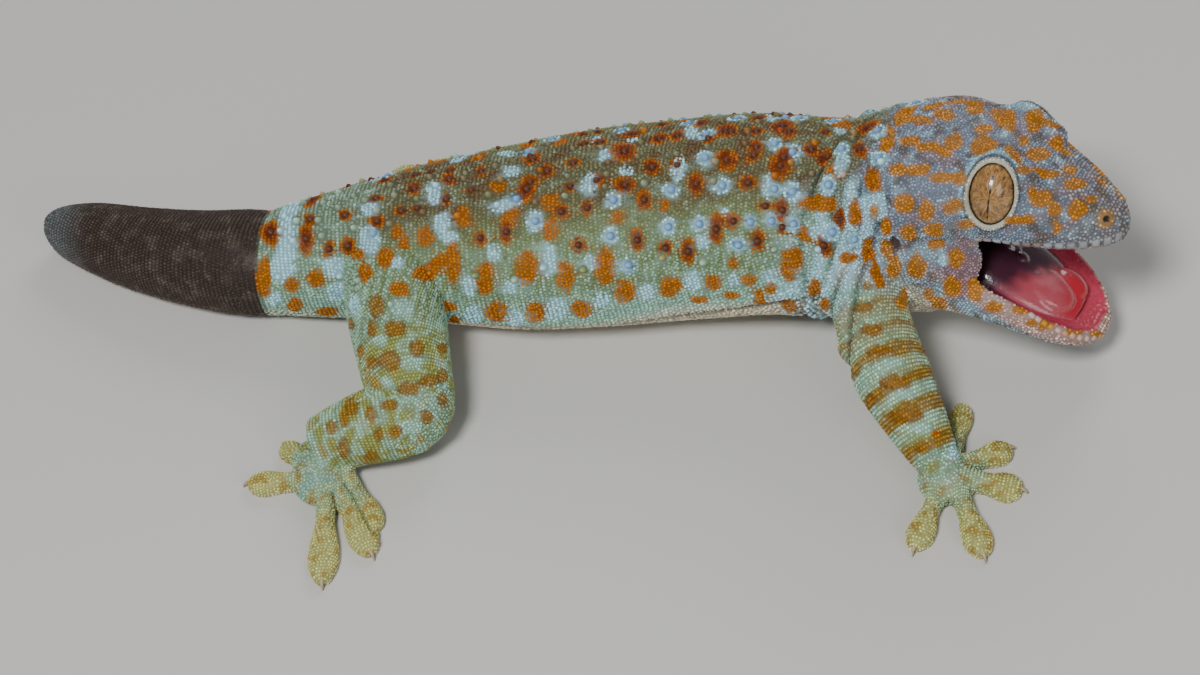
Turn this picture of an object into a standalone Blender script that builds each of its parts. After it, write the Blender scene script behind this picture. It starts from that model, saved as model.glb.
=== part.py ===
"""A tokay gecko at life size, standing with its head turned and its mouth open.

The animal is modelled whole from tapered tubes, blended into one skin, and then
parted with thin cuts into head, lower jaw, neck, torso, tail and legs. Rows of
blunt cones stand on the back. The tongue and the eyes are pieces of their own.

Frame: +X runs along the body to the head, +Z is up and z = 0 is the floor. All
sizes below are in millimetres, and the meshes are made in metres.
"""
import math
import random

import bmesh
import bpy
from mathutils import Matrix, Vector
from mathutils.bvhtree import BVHTree

MM = 0.001
GAP = 0.3
SEED = 7

# The head's own frame: its origin is at the lips under the snout tip, with x
# forward, y to the animal's left and z up through the crown.
HEAD_ORIGIN = (92.9, -10.9, 25.6)
HEAD_YAW = -18.0
HEAD_PITCH = -3.5
HEAD_ROLL = -8.5
JAW_HINGE = (-38.0, -1.6)
JAW_GAPE = 25.5
NECK_PARTING = -38.0
NECK_LENGTH = 8.0

# Cone-shaped tubercles stand in rows along the back, fewer than on the animal.
TUBERCLE_ANGLES = (-64, -46, -28, -10, 10, 28, 46, 64)
TUBERCLE_SPAN = (-57.0, 54.0)
TUBERCLE_STEP = 8.0
TUBERCLE_HEIGHT = 1.1
TUBERCLE_ROOT = 0.5

EYE_CENTRE = (-21.3, 7.4, 9.4)
EYE_RADIUS = 6.0
EYE_SHAPE = (1.0, 0.72, 1.04)
EYE_TILT_UP = 18.0
EYE_TILT_FORWARD = 8.0

BODY_VOXEL = 0.8
HEAD_VOXEL = 0.45
BODY_FACES = 6200
HEAD_FACES = 3600

# Stations of the trunk: x, y, z, half width, height above, depth below, roll.
TAIL = [
    (-108.0, 15.0, 4.0, 2.4, 3.0, 4.0, 0),
    (-105.0, 13.9, 4.8, 4.4, 4.6, 5.2, 0),
    (-98.0, 11.4, 5.6, 6.3, 6.1, 6.3, 0),
    (-88.0, 7.6, 6.2, 7.7, 7.3, 6.9, 0),
    (-76.0, 4.2, 7.0, 8.9, 8.4, 7.7, 0),
    (-66.0, 2.6, 7.6, 9.8, 9.1, 8.3, 0),
    (-60.5, 2.3, 7.8, 9.6, 8.8, 8.4, 0),
]
TRUNK = [
    (-58.0, 2.5, 8.0, 10.2, 9.5, 8.6, 0),
    (-50.0, 3.2, 8.6, 11.8, 10.8, 9.3, -2),
    (-40.0, 4.0, 9.4, 13.6, 12.6, 10.2, -4),
    (-28.0, 4.6, 10.2, 16.2, 14.4, 11.0, -5),
    (-14.0, 5.2, 11.0, 18.6, 15.8, 12.6, -6),
    (0.0, 6.6, 11.8, 19.4, 16.8, 13.8, -6),
    (14.0, 7.2, 13.0, 19.2, 17.2, 14.2, -6),
    (28.0, 6.2, 15.6, 18.8, 17.2, 14.8, -6),
    (39.0, 4.2, 18.6, 17.2, 15.9, 17.0, -7),
    (48.0, 2.8, 21.8, 16.0, 13.8, 19.4, -9),
    (55.0, 1.6, 25.0, 15.6, 11.2, 21.2, -10),
    (61.0, 0.4, 26.8, 14.4, 9.4, 20.4, -11),
]

# Stations of the cranium and upper jaw in the head's frame: x, half width,
# z of the lip edge, z of the crown.
CRANIUM = [
    (-0.4, 1.4, 1.2, 4.2),
    (-1.6, 3.3, 0.5, 5.9),
    (-3.8, 5.3, 0.1, 7.6),
    (-7.4, 7.7, -0.2, 9.4),
    (-11.5, 9.6, -0.3, 11.2),
    (-16.0, 11.2, -0.4, 13.0),
    (-21.0, 12.4, -0.6, 14.4),
    (-27.0, 14.0, -1.6, 15.0),
    (-33.0, 15.6, -3.6, 14.6),
    (-39.0, 15.8, -6.0, 12.4),
    (-46.0, 14.6, -8.0, 8.8),
    (-55.0, 12.0, -11.0, 3.5),
]
# Stations of the lower jaw in the frame of its hinge: distance forward, half
# width, height of the rim, depth of the chin.
JAW = [
    (-6.0, 12.6, 0.4, -20.0),
    (2.0, 13.8, 1.0, -18.8),
    (10.0, 13.4, 2.0, -14.2),
    (18.0, 12.8, 2.8, -8.8),
    (25.5, 12.0, 2.8, -5.4),
    (32.0, 10.4, 2.2, -3.6),
    (36.6, 7.8, 1.4, -2.6),
    (39.2, 4.8, 0.9, -2.1),
    (40.4, 2.2, 0.5, -1.5),
]
TONGUE = [
    (13.0, 5.0, 1.8, -3.4),
    (18.0, 8.2, 2.4, -3.6),
    (25.0, 8.2, 2.3, -3.0),
    (30.5, 6.6, 1.6, -2.2),
    (34.8, 3.8, 0.8, -1.3),
]
# The floor of the open mouth round the tongue, in the same frame.
TROUGH = [
    (10.0, 7.0, 6.0, -0.8),
    (17.0, 10.8, 6.0, -1.2),
    (25.0, 10.3, 6.0, -0.9),
    (31.5, 8.8, 5.0, -0.4),
    (36.2, 6.2, 4.0, -0.1),
    (38.4, 3.6, 4.0, 0.1),
]
PHARYNX = [
    (-15.0, 11.6, 6.4),
    (-21.0, 9.4, 4.6),
    (-26.0, 8.4, 3.6),
    (-32.0, 7.0, 2.6),
    (-37.0, 4.0, 1.4),
]

# The vault of the palate, in the head's frame, like the cranium.
PALATE = [
    (-2.6, 2.2, -3.0, 1.0),
    (-6.5, 5.4, -3.0, 1.9),
    (-13.0, 8.3, -3.0, 2.6),
    (-20.0, 10.2, -3.0, 2.6),
    (-27.0, 10.8, -4.0, 1.6),
]

# Legs: stations from inside the body to the wrist or ankle, as x, y, z and
# radius. Feet: palm, then each toe as base, tip and the half width of its pad.
LEGS = {
    "front_right": [
        (43.5, -4.0, 20.0, 8.0), (47.5, -11.5, 18.4, 7.0), (51.0, -21.0, 15.4, 6.2),
        (54.2, -29.0, 12.2, 6.3), (57.6, -34.4, 8.8, 5.4), (61.6, -40.4, 4.6, 3.9),
    ],
    "front_left": [
        (41.5, 11.0, 18.6, 8.0), (41.0, 18.5, 15.5, 6.8), (40.0, 24.5, 11.6, 6.0),
        (39.0, 29.0, 8.6, 5.8), (43.5, 31.5, 6.6, 5.0), (49.5, 34.0, 4.2, 3.8),
    ],
    "hind_right": [
        (-37.0, -1.0, 12.0, 9.4), (-34.0, -15.0, 11.4, 8.6), (-30.5, -26.5, 10.0, 7.8),
        (-28.6, -34.6, 8.2, 6.9), (-36.0, -37.6, 7.2, 6.3), (-44.8, -39.8, 5.0, 4.7),
    ],
    "hind_left": [
        (-38.0, 8.0, 10.6, 9.0), (-31.5, 16.4, 8.8, 7.8), (-22.5, 21.4, 7.4, 6.9),
        (-14.0, 25.0, 5.8, 6.0), (-21.5, 27.8, 5.0, 5.0), (-29.5, 28.4, 4.2, 4.2),
    ],
}
FEET = {
    "front_right": ((63.6, -43.2), 5.0, [
        ((64.7, -35.4), (65.3, -25.6), 1.9), ((67.4, -39.0), (73.6, -35.2), 2.4),
        ((68.4, -43.2), (75.8, -44.3), 2.8), ((66.3, -47.6), (70.2, -58.4), 2.4),
        ((61.7, -47.6), (58.9, -57.2), 2.3)]),
    "front_left": ((52.4, 35.4), 5.0, [
        ((53.0, 31.0), (57.0, 24.6), 2.3), ((56.4, 33.2), (63.4, 29.6), 3.0),
        ((57.2, 36.6), (65.4, 37.6), 3.4), ((55.0, 39.8), (59.6, 45.6), 3.0),
        ((50.6, 40.0), (50.2, 46.4), 2.8)]),
    "hind_right": ((-43.4, -45.2), 5.2, [
        ((-38.4, -45.2), (-32.0, -55.2), 2.3), ((-38.8, -49.4), (-32.0, -60.4), 2.6),
        ((-41.8, -50.4), (-39.3, -66.8), 2.6), ((-47.6, -45.3), (-56.8, -45.4), 2.4),
        ((-48.2, -40.8), (-52.2, -36.4), 2.0)]),
    "hind_left": ((-33.4, 27.8), 5.0, [
        ((-31.6, 31.4), (-28.6, 37.2), 2.4), ((-35.6, 31.6), (-37.0, 36.0), 2.9),
        ((-37.6, 29.6), (-45.0, 33.2), 2.9), ((-38.0, 26.6), (-48.4, 27.0), 2.8),
        ((-36.6, 24.0), (-43.6, 20.6), 2.2)]),
}
TOE_THICKNESS = 2.5
LEG_PARTS = {
    "front": ("upper_arm", "forearm", "foot"),
    "hind": ("thigh", "shank", "foot"),
}
LEG_CUTS = (0.36, 0.60)
# Where each foot is parted from its leg: a point, a direction and a radius.
FOOT_CUTS = {
    "front_right": ((60.4, -38.6, 5.8), (0.46, -0.69, -0.55), 6.6),
    "front_left": ((47.9, 33.3, 4.9), (0.87, 0.36, -0.35), 6.4),
    "hind_right": ((-43.0, -42.4, 3.8), (-0.12, -0.95, -0.28), 15.0),
}
# Where a leg close to the flank is parted from the torso, in the same way.
FLANK_CUTS = {
    "front_left": ((40.2, 24.2, 12.0), (0.2, 0.86, -0.46), 12.0),
    "hind_left": ((-24.0, 22.0, 6.5), (-0.24, 0.97, -0.05), 22.0),
}

COLOURS = {
    "skin": ((0.42, 0.47, 0.42), 0.62),
    "tail_grey": ((0.20, 0.18, 0.17), 0.66),
    "tongue": ((0.62, 0.12, 0.14), 0.25),
    "eye": ((0.36, 0.20, 0.07), 0.08),
}


def clear_scene():
    """Remove whatever the new file holds."""
    for thing in list(bpy.data.objects):
        bpy.data.objects.remove(thing, do_unlink=True)


def material(name):
    """A plain Principled material with the colour of the living animal."""
    colour, roughness = COLOURS[name]
    made = bpy.data.materials.get(name) or bpy.data.materials.new(name)
    made.use_nodes = True
    shader = made.node_tree.nodes["Principled BSDF"]
    shader.inputs["Base Color"].default_value = (*colour, 1.0)
    shader.inputs["Roughness"].default_value = roughness
    shader.inputs["Metallic"].default_value = 0.0
    return made


def object_from(name, bm):
    """Put a bmesh into a new object in the scene."""
    mesh = bpy.data.meshes.new(name)
    bm.to_mesh(mesh)
    bm.free()
    made = bpy.data.objects.new(name, mesh)
    bpy.context.scene.collection.objects.link(made)
    return made


def apply_modifiers(thing):
    """Turn what the modifiers show into the object's own mesh."""
    graph = bpy.context.evaluated_depsgraph_get()
    graph.update()
    mesh = bpy.data.meshes.new_from_object(thing.evaluated_get(graph))
    thing.modifiers.clear()
    old = thing.data
    thing.data = mesh
    bpy.data.meshes.remove(old)


def head_matrix():
    """The head's frame in the world."""
    turn = (Matrix.Rotation(math.radians(HEAD_YAW), 4, "Z")
            @ Matrix.Rotation(math.radians(-HEAD_PITCH), 4, "Y")
            @ Matrix.Rotation(math.radians(HEAD_ROLL), 4, "X"))
    return Matrix.Translation(Vector(HEAD_ORIGIN)) @ turn


def jaw_matrix():
    """The open lower jaw's frame: x forward from the hinge along the rim."""
    hinge = Matrix.Translation(Vector((JAW_HINGE[0], 0.0, JAW_HINGE[1])))
    return head_matrix() @ hinge @ Matrix.Rotation(math.radians(JAW_GAPE), 4, "Y")


def between(rows, steps):
    """Rows of numbers joined by a smooth curve that passes through each row."""
    last = len(rows) - 1
    made = []
    for i in range(last):
        a, b, c, d = (rows[max(0, min(last, j))] for j in (i - 1, i, i + 1, i + 2))
        for k in range(steps):
            t = k / steps
            made.append([
                q + 0.5 * t * (r - p + t * (2 * p - 5 * q + 4 * r - s
                                            + t * (3 * (q - r) + s - p)))
                for p, q, r, s in zip(a, b, c, d)])
    made.append(list(rows[-1]))
    return made


def section(frame, half_width, above, below, top_power, bottom_power, sides):
    """One ring of points: a rounded outline about a frame whose x is forward."""
    ring = []
    for k in range(sides):
        angle = 2.0 * math.pi * (k + 0.5) / sides
        across, upward = math.cos(angle), math.sin(angle)
        power = top_power if upward >= 0 else bottom_power
        height = above if upward >= 0 else below
        ring.append(frame @ Vector((
            0.0,
            half_width * math.copysign(abs(across) ** (2.0 / power), across),
            height * math.copysign(abs(upward) ** (2.0 / power), upward))))
    return ring


def bridge_rings(bm, rings):
    """Bridge ring after ring and close both ends with a fan about its middle."""
    loops = []
    for ring in rings:
        verts = [bm.verts.new(point * MM) for point in ring]
        loops.append([bm.edges.new((verts[k], verts[(k + 1) % len(verts)]))
                      for k in range(len(verts))])
    for first, second in zip(loops, loops[1:]):
        bmesh.ops.bridge_loops(bm, edges=first + second)
    for loop in (loops[0], loops[-1]):
        made = bmesh.ops.contextual_create(bm, geom=loop)
        bmesh.ops.poke(bm, faces=made["faces"])
    bmesh.ops.recalc_face_normals(bm, faces=bm.faces)


def tube(bm, frames, sizes, powers=(2.0, 2.4), sides=28):
    """A closed tube through the frames, with a half width, height and depth at each."""
    part = bmesh.new()
    bridge_rings(part, [section(frame, *size, *powers, sides)
                        for frame, size in zip(frames, sizes)])
    mesh = bpy.data.meshes.new("tube")
    part.to_mesh(mesh)
    part.free()
    bm.from_mesh(mesh)
    bpy.data.meshes.remove(mesh)


def looking(point, ahead):
    """A level frame at a point whose x axis looks ahead."""
    ahead = ahead.normalized()
    side = Vector((0, 0, 1)).cross(ahead).normalized()
    turn = Matrix((ahead, side, ahead.cross(side))).transposed()
    return Matrix.Translation(point) @ turn.to_4x4()


def frames_along(points, rolls):
    """Frames that look along a line of points, level apart from their roll."""
    frames = []
    for i, point in enumerate(points):
        ahead = points[min(i + 1, len(points) - 1)] - points[max(i - 1, 0)]
        frames.append(looking(point, ahead)
                      @ Matrix.Rotation(math.radians(rolls[i]), 4, "X"))
    return frames


def trunk_tube(bm, rows, powers=(2.0, 2.4)):
    """The tail, torso and neck, from stations in the world."""
    rows = between(rows, 4)
    frames = frames_along([Vector(row[:3]) for row in rows], [row[6] for row in rows])
    tube(bm, frames, [row[3:6] for row in rows], powers, 40)


def limb_tube(bm, rows):
    """A leg from inside the body to the wrist or ankle."""
    rows = between(rows, 5)
    frames = frames_along([Vector(row[:3]) for row in rows], [0.0] * len(rows))
    tube(bm, frames, [(row[3], row[3], row[3] * 0.94) for row in rows], (2.0, 2.2), 24)


def toe_tube(bm, base, tip, pad):
    """A toe: a slim base that widens into a broad flat pad with a round end."""
    start = Vector((*base, 1.7))
    end = Vector((*tip, 1.0))
    rows = []
    for t, width, height in ((-0.28, 0.62, 1.5), (0.0, 0.60, 1.35), (0.28, 0.62, 1.2),
                             (0.52, 0.92, 1.05), (0.74, 1.0, 0.95), (0.90, 0.74, 0.8),
                             (1.0, 0.34, 0.5)):
        point = start.lerp(end, t)
        rows.append((*point, pad * width, height * TOE_THICKNESS * 0.62, 2.2))
    rows = between(rows, 3)
    frames = frames_along([Vector(row[:3]) for row in rows], [0.0] * len(rows))
    tube(bm, frames, [row[3:6] for row in rows], (2.0, 2.6), 16)


def ball(bm, centre, radii, frame=None, detail=20):
    """An ellipsoid, turned with a frame if one is given."""
    place = (frame or Matrix.Identity(4)) @ Matrix.Translation(Vector(centre))
    place = Matrix.Translation(place.to_translation() * MM) @ place.to_3x3().to_4x4()
    shape = Matrix.Diagonal(Vector(radii) * MM).to_4x4()
    bmesh.ops.create_uvsphere(bm, u_segments=detail, v_segments=detail // 2, radius=1.0,
                              matrix=place @ shape)


def ring_tube(bm, frame, radius, thickness, sides=30):
    """A closed hoop about a frame's x axis, for the rim of an eye."""
    part = bmesh.new()
    made = bmesh.ops.create_circle(part, segments=12, radius=thickness * MM)
    lift = Matrix.Translation(Vector((0, radius * MM, 0)))
    bmesh.ops.transform(part, matrix=lift, verts=made["verts"])
    bmesh.ops.spin(part, geom=part.verts[:] + part.edges[:], cent=(0, 0, 0),
                   axis=(1, 0, 0), angle=2 * math.pi, steps=sides, use_duplicate=False)
    bmesh.ops.remove_doubles(part, verts=part.verts, dist=0.00002)
    bmesh.ops.recalc_face_normals(part, faces=part.faces)
    place = Matrix.Translation(frame.to_translation() * MM) @ frame.to_3x3().to_4x4()
    bmesh.ops.transform(part, matrix=place, verts=part.verts)
    mesh = bpy.data.meshes.new("hoop")
    part.to_mesh(mesh)
    part.free()
    bm.from_mesh(mesh)
    bpy.data.meshes.remove(mesh)


def eye_frame(side):
    """The eye's frame, x out of the head along the line of sight."""
    out = Vector((math.sin(math.radians(EYE_TILT_FORWARD)),
                  side * math.cos(math.radians(EYE_TILT_FORWARD)), 0.0))
    out = out * math.cos(math.radians(EYE_TILT_UP))
    out.z = math.sin(math.radians(EYE_TILT_UP))
    up = Vector((0, 0, 1))
    across = up.cross(out).normalized()
    up = out.cross(across)
    turn = Matrix((out, across, up)).transposed().to_4x4()
    centre = Vector((EYE_CENTRE[0], side * EYE_CENTRE[1], EYE_CENTRE[2]))
    oval = Matrix.Diagonal(EYE_SHAPE).to_4x4()
    return head_matrix() @ Matrix.Translation(centre) @ turn @ oval


def one_skin(name, bm, voxel, rounds, faces):
    """Blend overlapping closed shapes into one closed surface of few faces."""
    thing = object_from(name, bm)
    remesh = thing.modifiers.new("blend", "REMESH")
    remesh.mode = "VOXEL"
    remesh.voxel_size = voxel * MM
    smooth = thing.modifiers.new("soften", "SMOOTH")
    smooth.factor = 0.5
    smooth.iterations = rounds
    apply_modifiers(thing)
    fewer = thing.modifiers.new("fewer", "DECIMATE")
    fewer.ratio = faces / sum(len(face.vertices) - 2 for face in thing.data.polygons)
    fewer.use_collapse_triangulate = True
    apply_modifiers(thing)
    return thing


def cut_away(thing, shape, *sizes, **more):
    """Take one shape, made by its function from its sizes, away from an object."""
    bm = bmesh.new()
    shape(bm, *sizes, **more)
    cutter = object_from("cutter", bm)
    cutter.hide_render = True
    cutter.display_type = "WIRE"
    boolean = thing.modifiers.new("cut", "BOOLEAN")
    boolean.operation = "DIFFERENCE"
    boolean.solver = "EXACT"
    boolean.object = cutter
    apply_modifiers(thing)
    bpy.data.objects.remove(cutter, do_unlink=True)


def box(bm, frame, low, high):
    """A box given by its low and high corners in a frame."""
    low, high = Vector(low), Vector(high)
    middle = (low + high) / 2
    place = frame @ Matrix.Translation(middle)
    place = Matrix.Translation(place.to_translation() * MM) @ place.to_3x3().to_4x4()
    bmesh.ops.create_cube(bm, size=1.0,
                          matrix=place @ Matrix.Diagonal((high - low) * MM).to_4x4())


def disc(bm, frame, radius, thickness, sides=32):
    """A flat disc about a frame's x axis, centred on it."""
    place = Matrix.Translation(frame.to_translation() * MM) @ frame.to_3x3().to_4x4()
    bmesh.ops.create_cone(bm, cap_ends=True, segments=sides, radius1=radius * MM,
                          radius2=radius * MM, depth=thickness * MM,
                          matrix=place @ Matrix.Rotation(math.radians(90), 4, "Y"))


def loose_parts(thing):
    """Split an object into its closed surfaces, largest first."""
    bm = bmesh.new()
    bm.from_mesh(thing.data)
    left = set(bm.verts)
    groups = []
    while left:
        front = [left.pop()]
        group = set(front)
        while front:
            vert = front.pop()
            for edge in vert.link_edges:
                other = edge.other_vert(vert)
                if other in left:
                    left.discard(other)
                    group.add(other)
                    front.append(other)
        groups.append(sorted(v.index for v in group))
    groups.sort(key=lambda g: (-len(g), g[0]))
    made = []
    for group in groups:
        keep = set(group)
        part = bm.copy()
        part.verts.ensure_lookup_table()
        bmesh.ops.delete(part, geom=[v for v in part.verts if v.index not in keep],
                         context="VERTS")
        made.append(part)
    bm.free()
    bpy.data.objects.remove(thing, do_unlink=True)
    return made


def tidy(bm):
    """Merge slivers and close the mesh as plain triangles facing out."""
    bmesh.ops.remove_doubles(bm, verts=bm.verts, dist=0.00002)
    bmesh.ops.dissolve_degenerate(bm, edges=bm.edges, dist=0.00001)
    bmesh.ops.holes_fill(bm, edges=[edge for edge in bm.edges if edge.is_boundary], sides=8)
    bmesh.ops.triangulate(bm, faces=bm.faces)
    bmesh.ops.recalc_face_normals(bm, faces=bm.faces)


def name_parts(parts, anchors, slot_of):
    """Give each closed surface the name of the nearest anchor point."""
    named = {}
    for part in parts:
        if len(part.verts) < 12:
            part.free()
            continue
        middle = sum((v.co for v in part.verts), Vector()) / len(part.verts) / MM
        name = min(anchors, key=lambda key: (Vector(anchors[key]) - middle).length)
        if name in named:
            print("second piece for", name, len(part.verts), tuple(middle))
            part.free()
            continue
        tidy(part)
        named[name] = object_from(name, part)
        named[name].data.materials.clear()
        named[name].data.materials.append(material(slot_of(name)))
    return named


def build_body():
    """Tail, torso, neck and legs as one skin, then parted."""
    bm = bmesh.new()
    trunk_tube(bm, TAIL + TRUNK)
    head_shapes(bm, first=7, last=3)
    for leg, rows in LEGS.items():
        limb_tube(bm, rows)
        (x, y), radius, toes = FEET[leg]
        wrist = Vector(rows[-1][:3])
        palm = Vector((x, y, 2.0))
        ball(bm, palm, (radius, radius, 2.6))
        ball(bm, wrist.lerp(palm, 0.45), (rows[-1][3], rows[-1][3], 3.4))
        for base, tip, pad in toes:
            toe_tube(bm, base, tip, pad)
    body = one_skin("body", bm, BODY_VOXEL, 5, BODY_FACES)

    cut_away(body, box, Matrix.Identity(4), (-160, -110, -20), (160, 110, 0.0))
    front = head_matrix() @ Matrix.Translation((NECK_PARTING + 14.0 - GAP / 2, 0, -4))
    cut_away(body, disc, front, 25.0, 28.0)
    anchors = {"tail_regrown": (-85, 6, 7), "tail_base": (-56, 3, 9), "torso": (0, 5, 13),
               "neck": (54, 5, 24)}
    rows = between(TAIL + TRUNK, 4)
    frames = frames_along([Vector(row[:3]) for row in rows], [row[6] for row in rows])
    for x, radius in ((-61.5, 18.0), (-49.0, 17.0)):
        nearest = min(range(len(rows)), key=lambda i: abs(rows[i][0] - x))
        cut_away(body, disc, frames[nearest], radius, GAP)
    nape = head_matrix() @ Matrix.Translation((NECK_PARTING - NECK_LENGTH, 0, -4.0))
    cut_away(body, disc, nape, 28.0, GAP)
    for leg, rows in LEGS.items():
        rows = between(rows, 5)
        points = [Vector(row[:3]) for row in rows]
        frames = frames_along(points, [0.0] * len(rows))
        kinds = LEG_PARTS[leg.split("_")[0]]
        root, bend = (round(share * (len(rows) - 1)) for share in LEG_CUTS)
        cuts = [(frames[i], rows[i][3] * 2.0) for i in (root, bend)]
        if leg in FLANK_CUTS:
            at, way, radius = FLANK_CUTS[leg]
            cuts[0] = (looking(Vector(at), Vector(way)), radius)
        if leg in FOOT_CUTS:
            at, way, radius = FOOT_CUTS[leg]
            cuts.append((looking(Vector(at), Vector(way)), radius))
            anchors[f"{leg}_{kinds[0]}"] = (points[root] + points[bend]) / 2
            anchors[f"{leg}_{kinds[1]}"] = (points[bend] + points[-3]) / 2
            anchors[f"{leg}_{kinds[2]}"] = (*FEET[leg][0], 2)
        else:
            # Thigh, shank and foot are folded against each other and stay one piece.
            cuts.pop(1)
            anchors[f"{leg}_leg"] = points[-3]
        for frame, radius in cuts:
            cut_away(body, disc, frame, radius, GAP)
    return name_parts(loose_parts(body), anchors,
                      lambda name: "tail_grey" if name == "tail_regrown" else "skin")


def head_tube(bm, frame, rows, powers, grow=0.0, steps=4, sides=36):
    """A tube of stations x, half width, low and high about a frame."""
    rows = between([(x, w, min(a, b), max(a, b)) for x, w, a, b in rows], steps)
    frames = []
    sizes = []
    for x, half_width, low, high in rows:
        middle = low + (high - low) * 0.42
        frames.append(frame @ Matrix.Translation((x, 0, middle)))
        sizes.append((half_width + grow, high - middle + grow, middle - low + grow))
    tube(bm, frames, sizes, powers, sides)


def head_shapes(bm, first=0, last=len(JAW)):
    """Cranium, lower jaw and cheeks, whole or only their hind stations."""
    head = head_matrix()
    head_tube(bm, head, CRANIUM[first:], (2.5, 3.4))
    head_tube(bm, jaw_matrix(), JAW[:last], (3.6, 2.2))
    for side in (-1, 1):
        # The muscles of the cheek join the two jaws behind the mouth's corner.
        ball(bm, (-34.0, side * 7.4, -5.4), (9.6, 8.0, 9.4), head, 24)


def mouth_space(bm, head):
    """The room between the jaws, back to the throat."""
    bisector = head @ Matrix.Translation((0, 0, -0.4))
    slope = math.tan(math.radians(JAW_GAPE * 0.5))
    frames = []
    sizes = []
    for x, half_width, half_height in between(PHARYNX, 4):
        drop = (x - JAW_HINGE[0]) * slope * 0.92
        frames.append(bisector @ Matrix.Translation((x, 0, JAW_HINGE[1] + 1.0 - drop))
                      @ Matrix.Rotation(math.radians(JAW_GAPE * 0.5), 4, "Y"))
        sizes.append((half_width, half_height, half_height))
    tube(bm, frames, sizes, (2.2, 2.2), 28)


def build_head():
    """Cranium, cheeks, jaws and throat as one skin, then parted."""
    head = head_matrix()
    jaw = jaw_matrix()
    bm = bmesh.new()
    head_shapes(bm)
    trunk_tube(bm, TRUNK[-4:])
    for side in (-1, 1):
        sight = eye_frame(side)
        ball(bm, (-1.0, 0, 0), (EYE_RADIUS + 0.9,) * 3, sight, 24)
        ring_tube(bm, sight @ Matrix.Translation((3.4, 0, 0)), 5.55, 0.62)
        ball(bm, (-22.4, side * 6.8, 12.2), (8.6, 4.2, 2.6), head, 16)
        ball(bm, (-4.2, side * 3.0, 5.7), (2.2, 1.7, 1.3), head, 12)
        # A web of skin closes the mouth's corner in front of the cheek.
        ball(bm, (-28.0, side * 10.6, -5.0), (6.8, 2.4, 9.0), head, 20)
    whole = one_skin("whole_head", bm, HEAD_VOXEL, 4, 52000)

    cut_away(whole, mouth_space, head)
    cut_away(whole, head_tube, head, PALATE, (2.2, 2.2))
    cut_away(whole, head_tube, jaw, TROUGH, (2.6, 2.4))
    cut_away(whole, head_tube, jaw, TONGUE, (2.2, 2.4), grow=GAP)
    for side in (-1, 1):
        cut_away(whole, ball, (-3.0, side * 4.5, 6.0), (0.9, 1.2, 0.8), head, 12)
        # The ear is a deep upright slit behind the angle of the jaw.
        cut_away(whole, ball, (-35.4, side * 16.1, -1.6), (1.5, 2.4, 3.2), head, 14)
        sight = eye_frame(side)
        cut_away(whole, ball, (0, 0, 0), (EYE_RADIUS + GAP,) * 3, sight, 32)
        cut_away(whole, ball, (6.0, 0, 0), (4.5, 5.9, 5.9), sight, 36)

    triangles = sum(len(face.vertices) - 2 for face in whole.data.polygons)
    fewer = whole.modifiers.new("fewer", "DECIMATE")
    fewer.ratio = HEAD_FACES / triangles
    fewer.use_collapse_triangulate = True
    apply_modifiers(whole)

    behind = head @ Matrix.Translation((NECK_PARTING - 20.0 + GAP / 2, 0, 0))
    cut_away(whole, disc, behind, 40.0, 40.0)
    cut_away(whole, box, Matrix.Identity(4), (-160, -110, -20), (160, 110, 0.0))
    cut_away(whole, box, head @ Matrix.Translation((JAW_HINGE[0], 0, JAW_HINGE[1] - 0.6))
        @ Matrix.Rotation(math.radians(JAW_GAPE * 0.42), 4, "Y"),
        (-8.0, -24.0, -GAP / 2), (20.0, 24.0, GAP / 2))
    anchors = {"head": head @ Vector((-22, 0, 7)), "lower_jaw": jaw @ Vector((14, 0, -6))}
    return name_parts(loose_parts(whole), anchors, lambda name: "skin")


def build_eyes_and_tongue():
    """Eyeballs with a clear dome, and the fleshy tongue in the lower jaw."""
    for side, name in ((-1, "eye_right"), (1, "eye_left")):
        bm = bmesh.new()
        ball(bm, (0, 0, 0), (EYE_RADIUS,) * 3, eye_frame(side), 20)
        tidy(bm)
        eye = object_from(name, bm)
        eye.data.materials.append(material("eye"))
    bm = bmesh.new()
    head_tube(bm, jaw_matrix(), TONGUE, (2.2, 2.4), steps=2, sides=20)
    tidy(bm)
    tongue = object_from("tongue", bm)
    tongue.data.materials.append(material("tongue"))


def tubercle(place, radius):
    """A blunt six-sided cone about a frame's x axis, rooted under the skin."""
    bm = bmesh.new()
    depth = TUBERCLE_HEIGHT + TUBERCLE_ROOT
    lift = Matrix.Translation(((TUBERCLE_HEIGHT - TUBERCLE_ROOT) / 2, 0, 0))
    stand = place @ lift @ Matrix.Rotation(math.radians(90), 4, "Y")
    stand = Matrix.Translation(stand.to_translation() * MM) @ stand.to_3x3().to_4x4()
    bmesh.ops.create_cone(bm, cap_ends=True, segments=6, radius1=radius * MM,
                          radius2=0.0, depth=depth * MM, matrix=stand)
    bmesh.ops.remove_doubles(bm, verts=bm.verts, dist=0.00002)
    return object_from("tubercle", bm)


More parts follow.
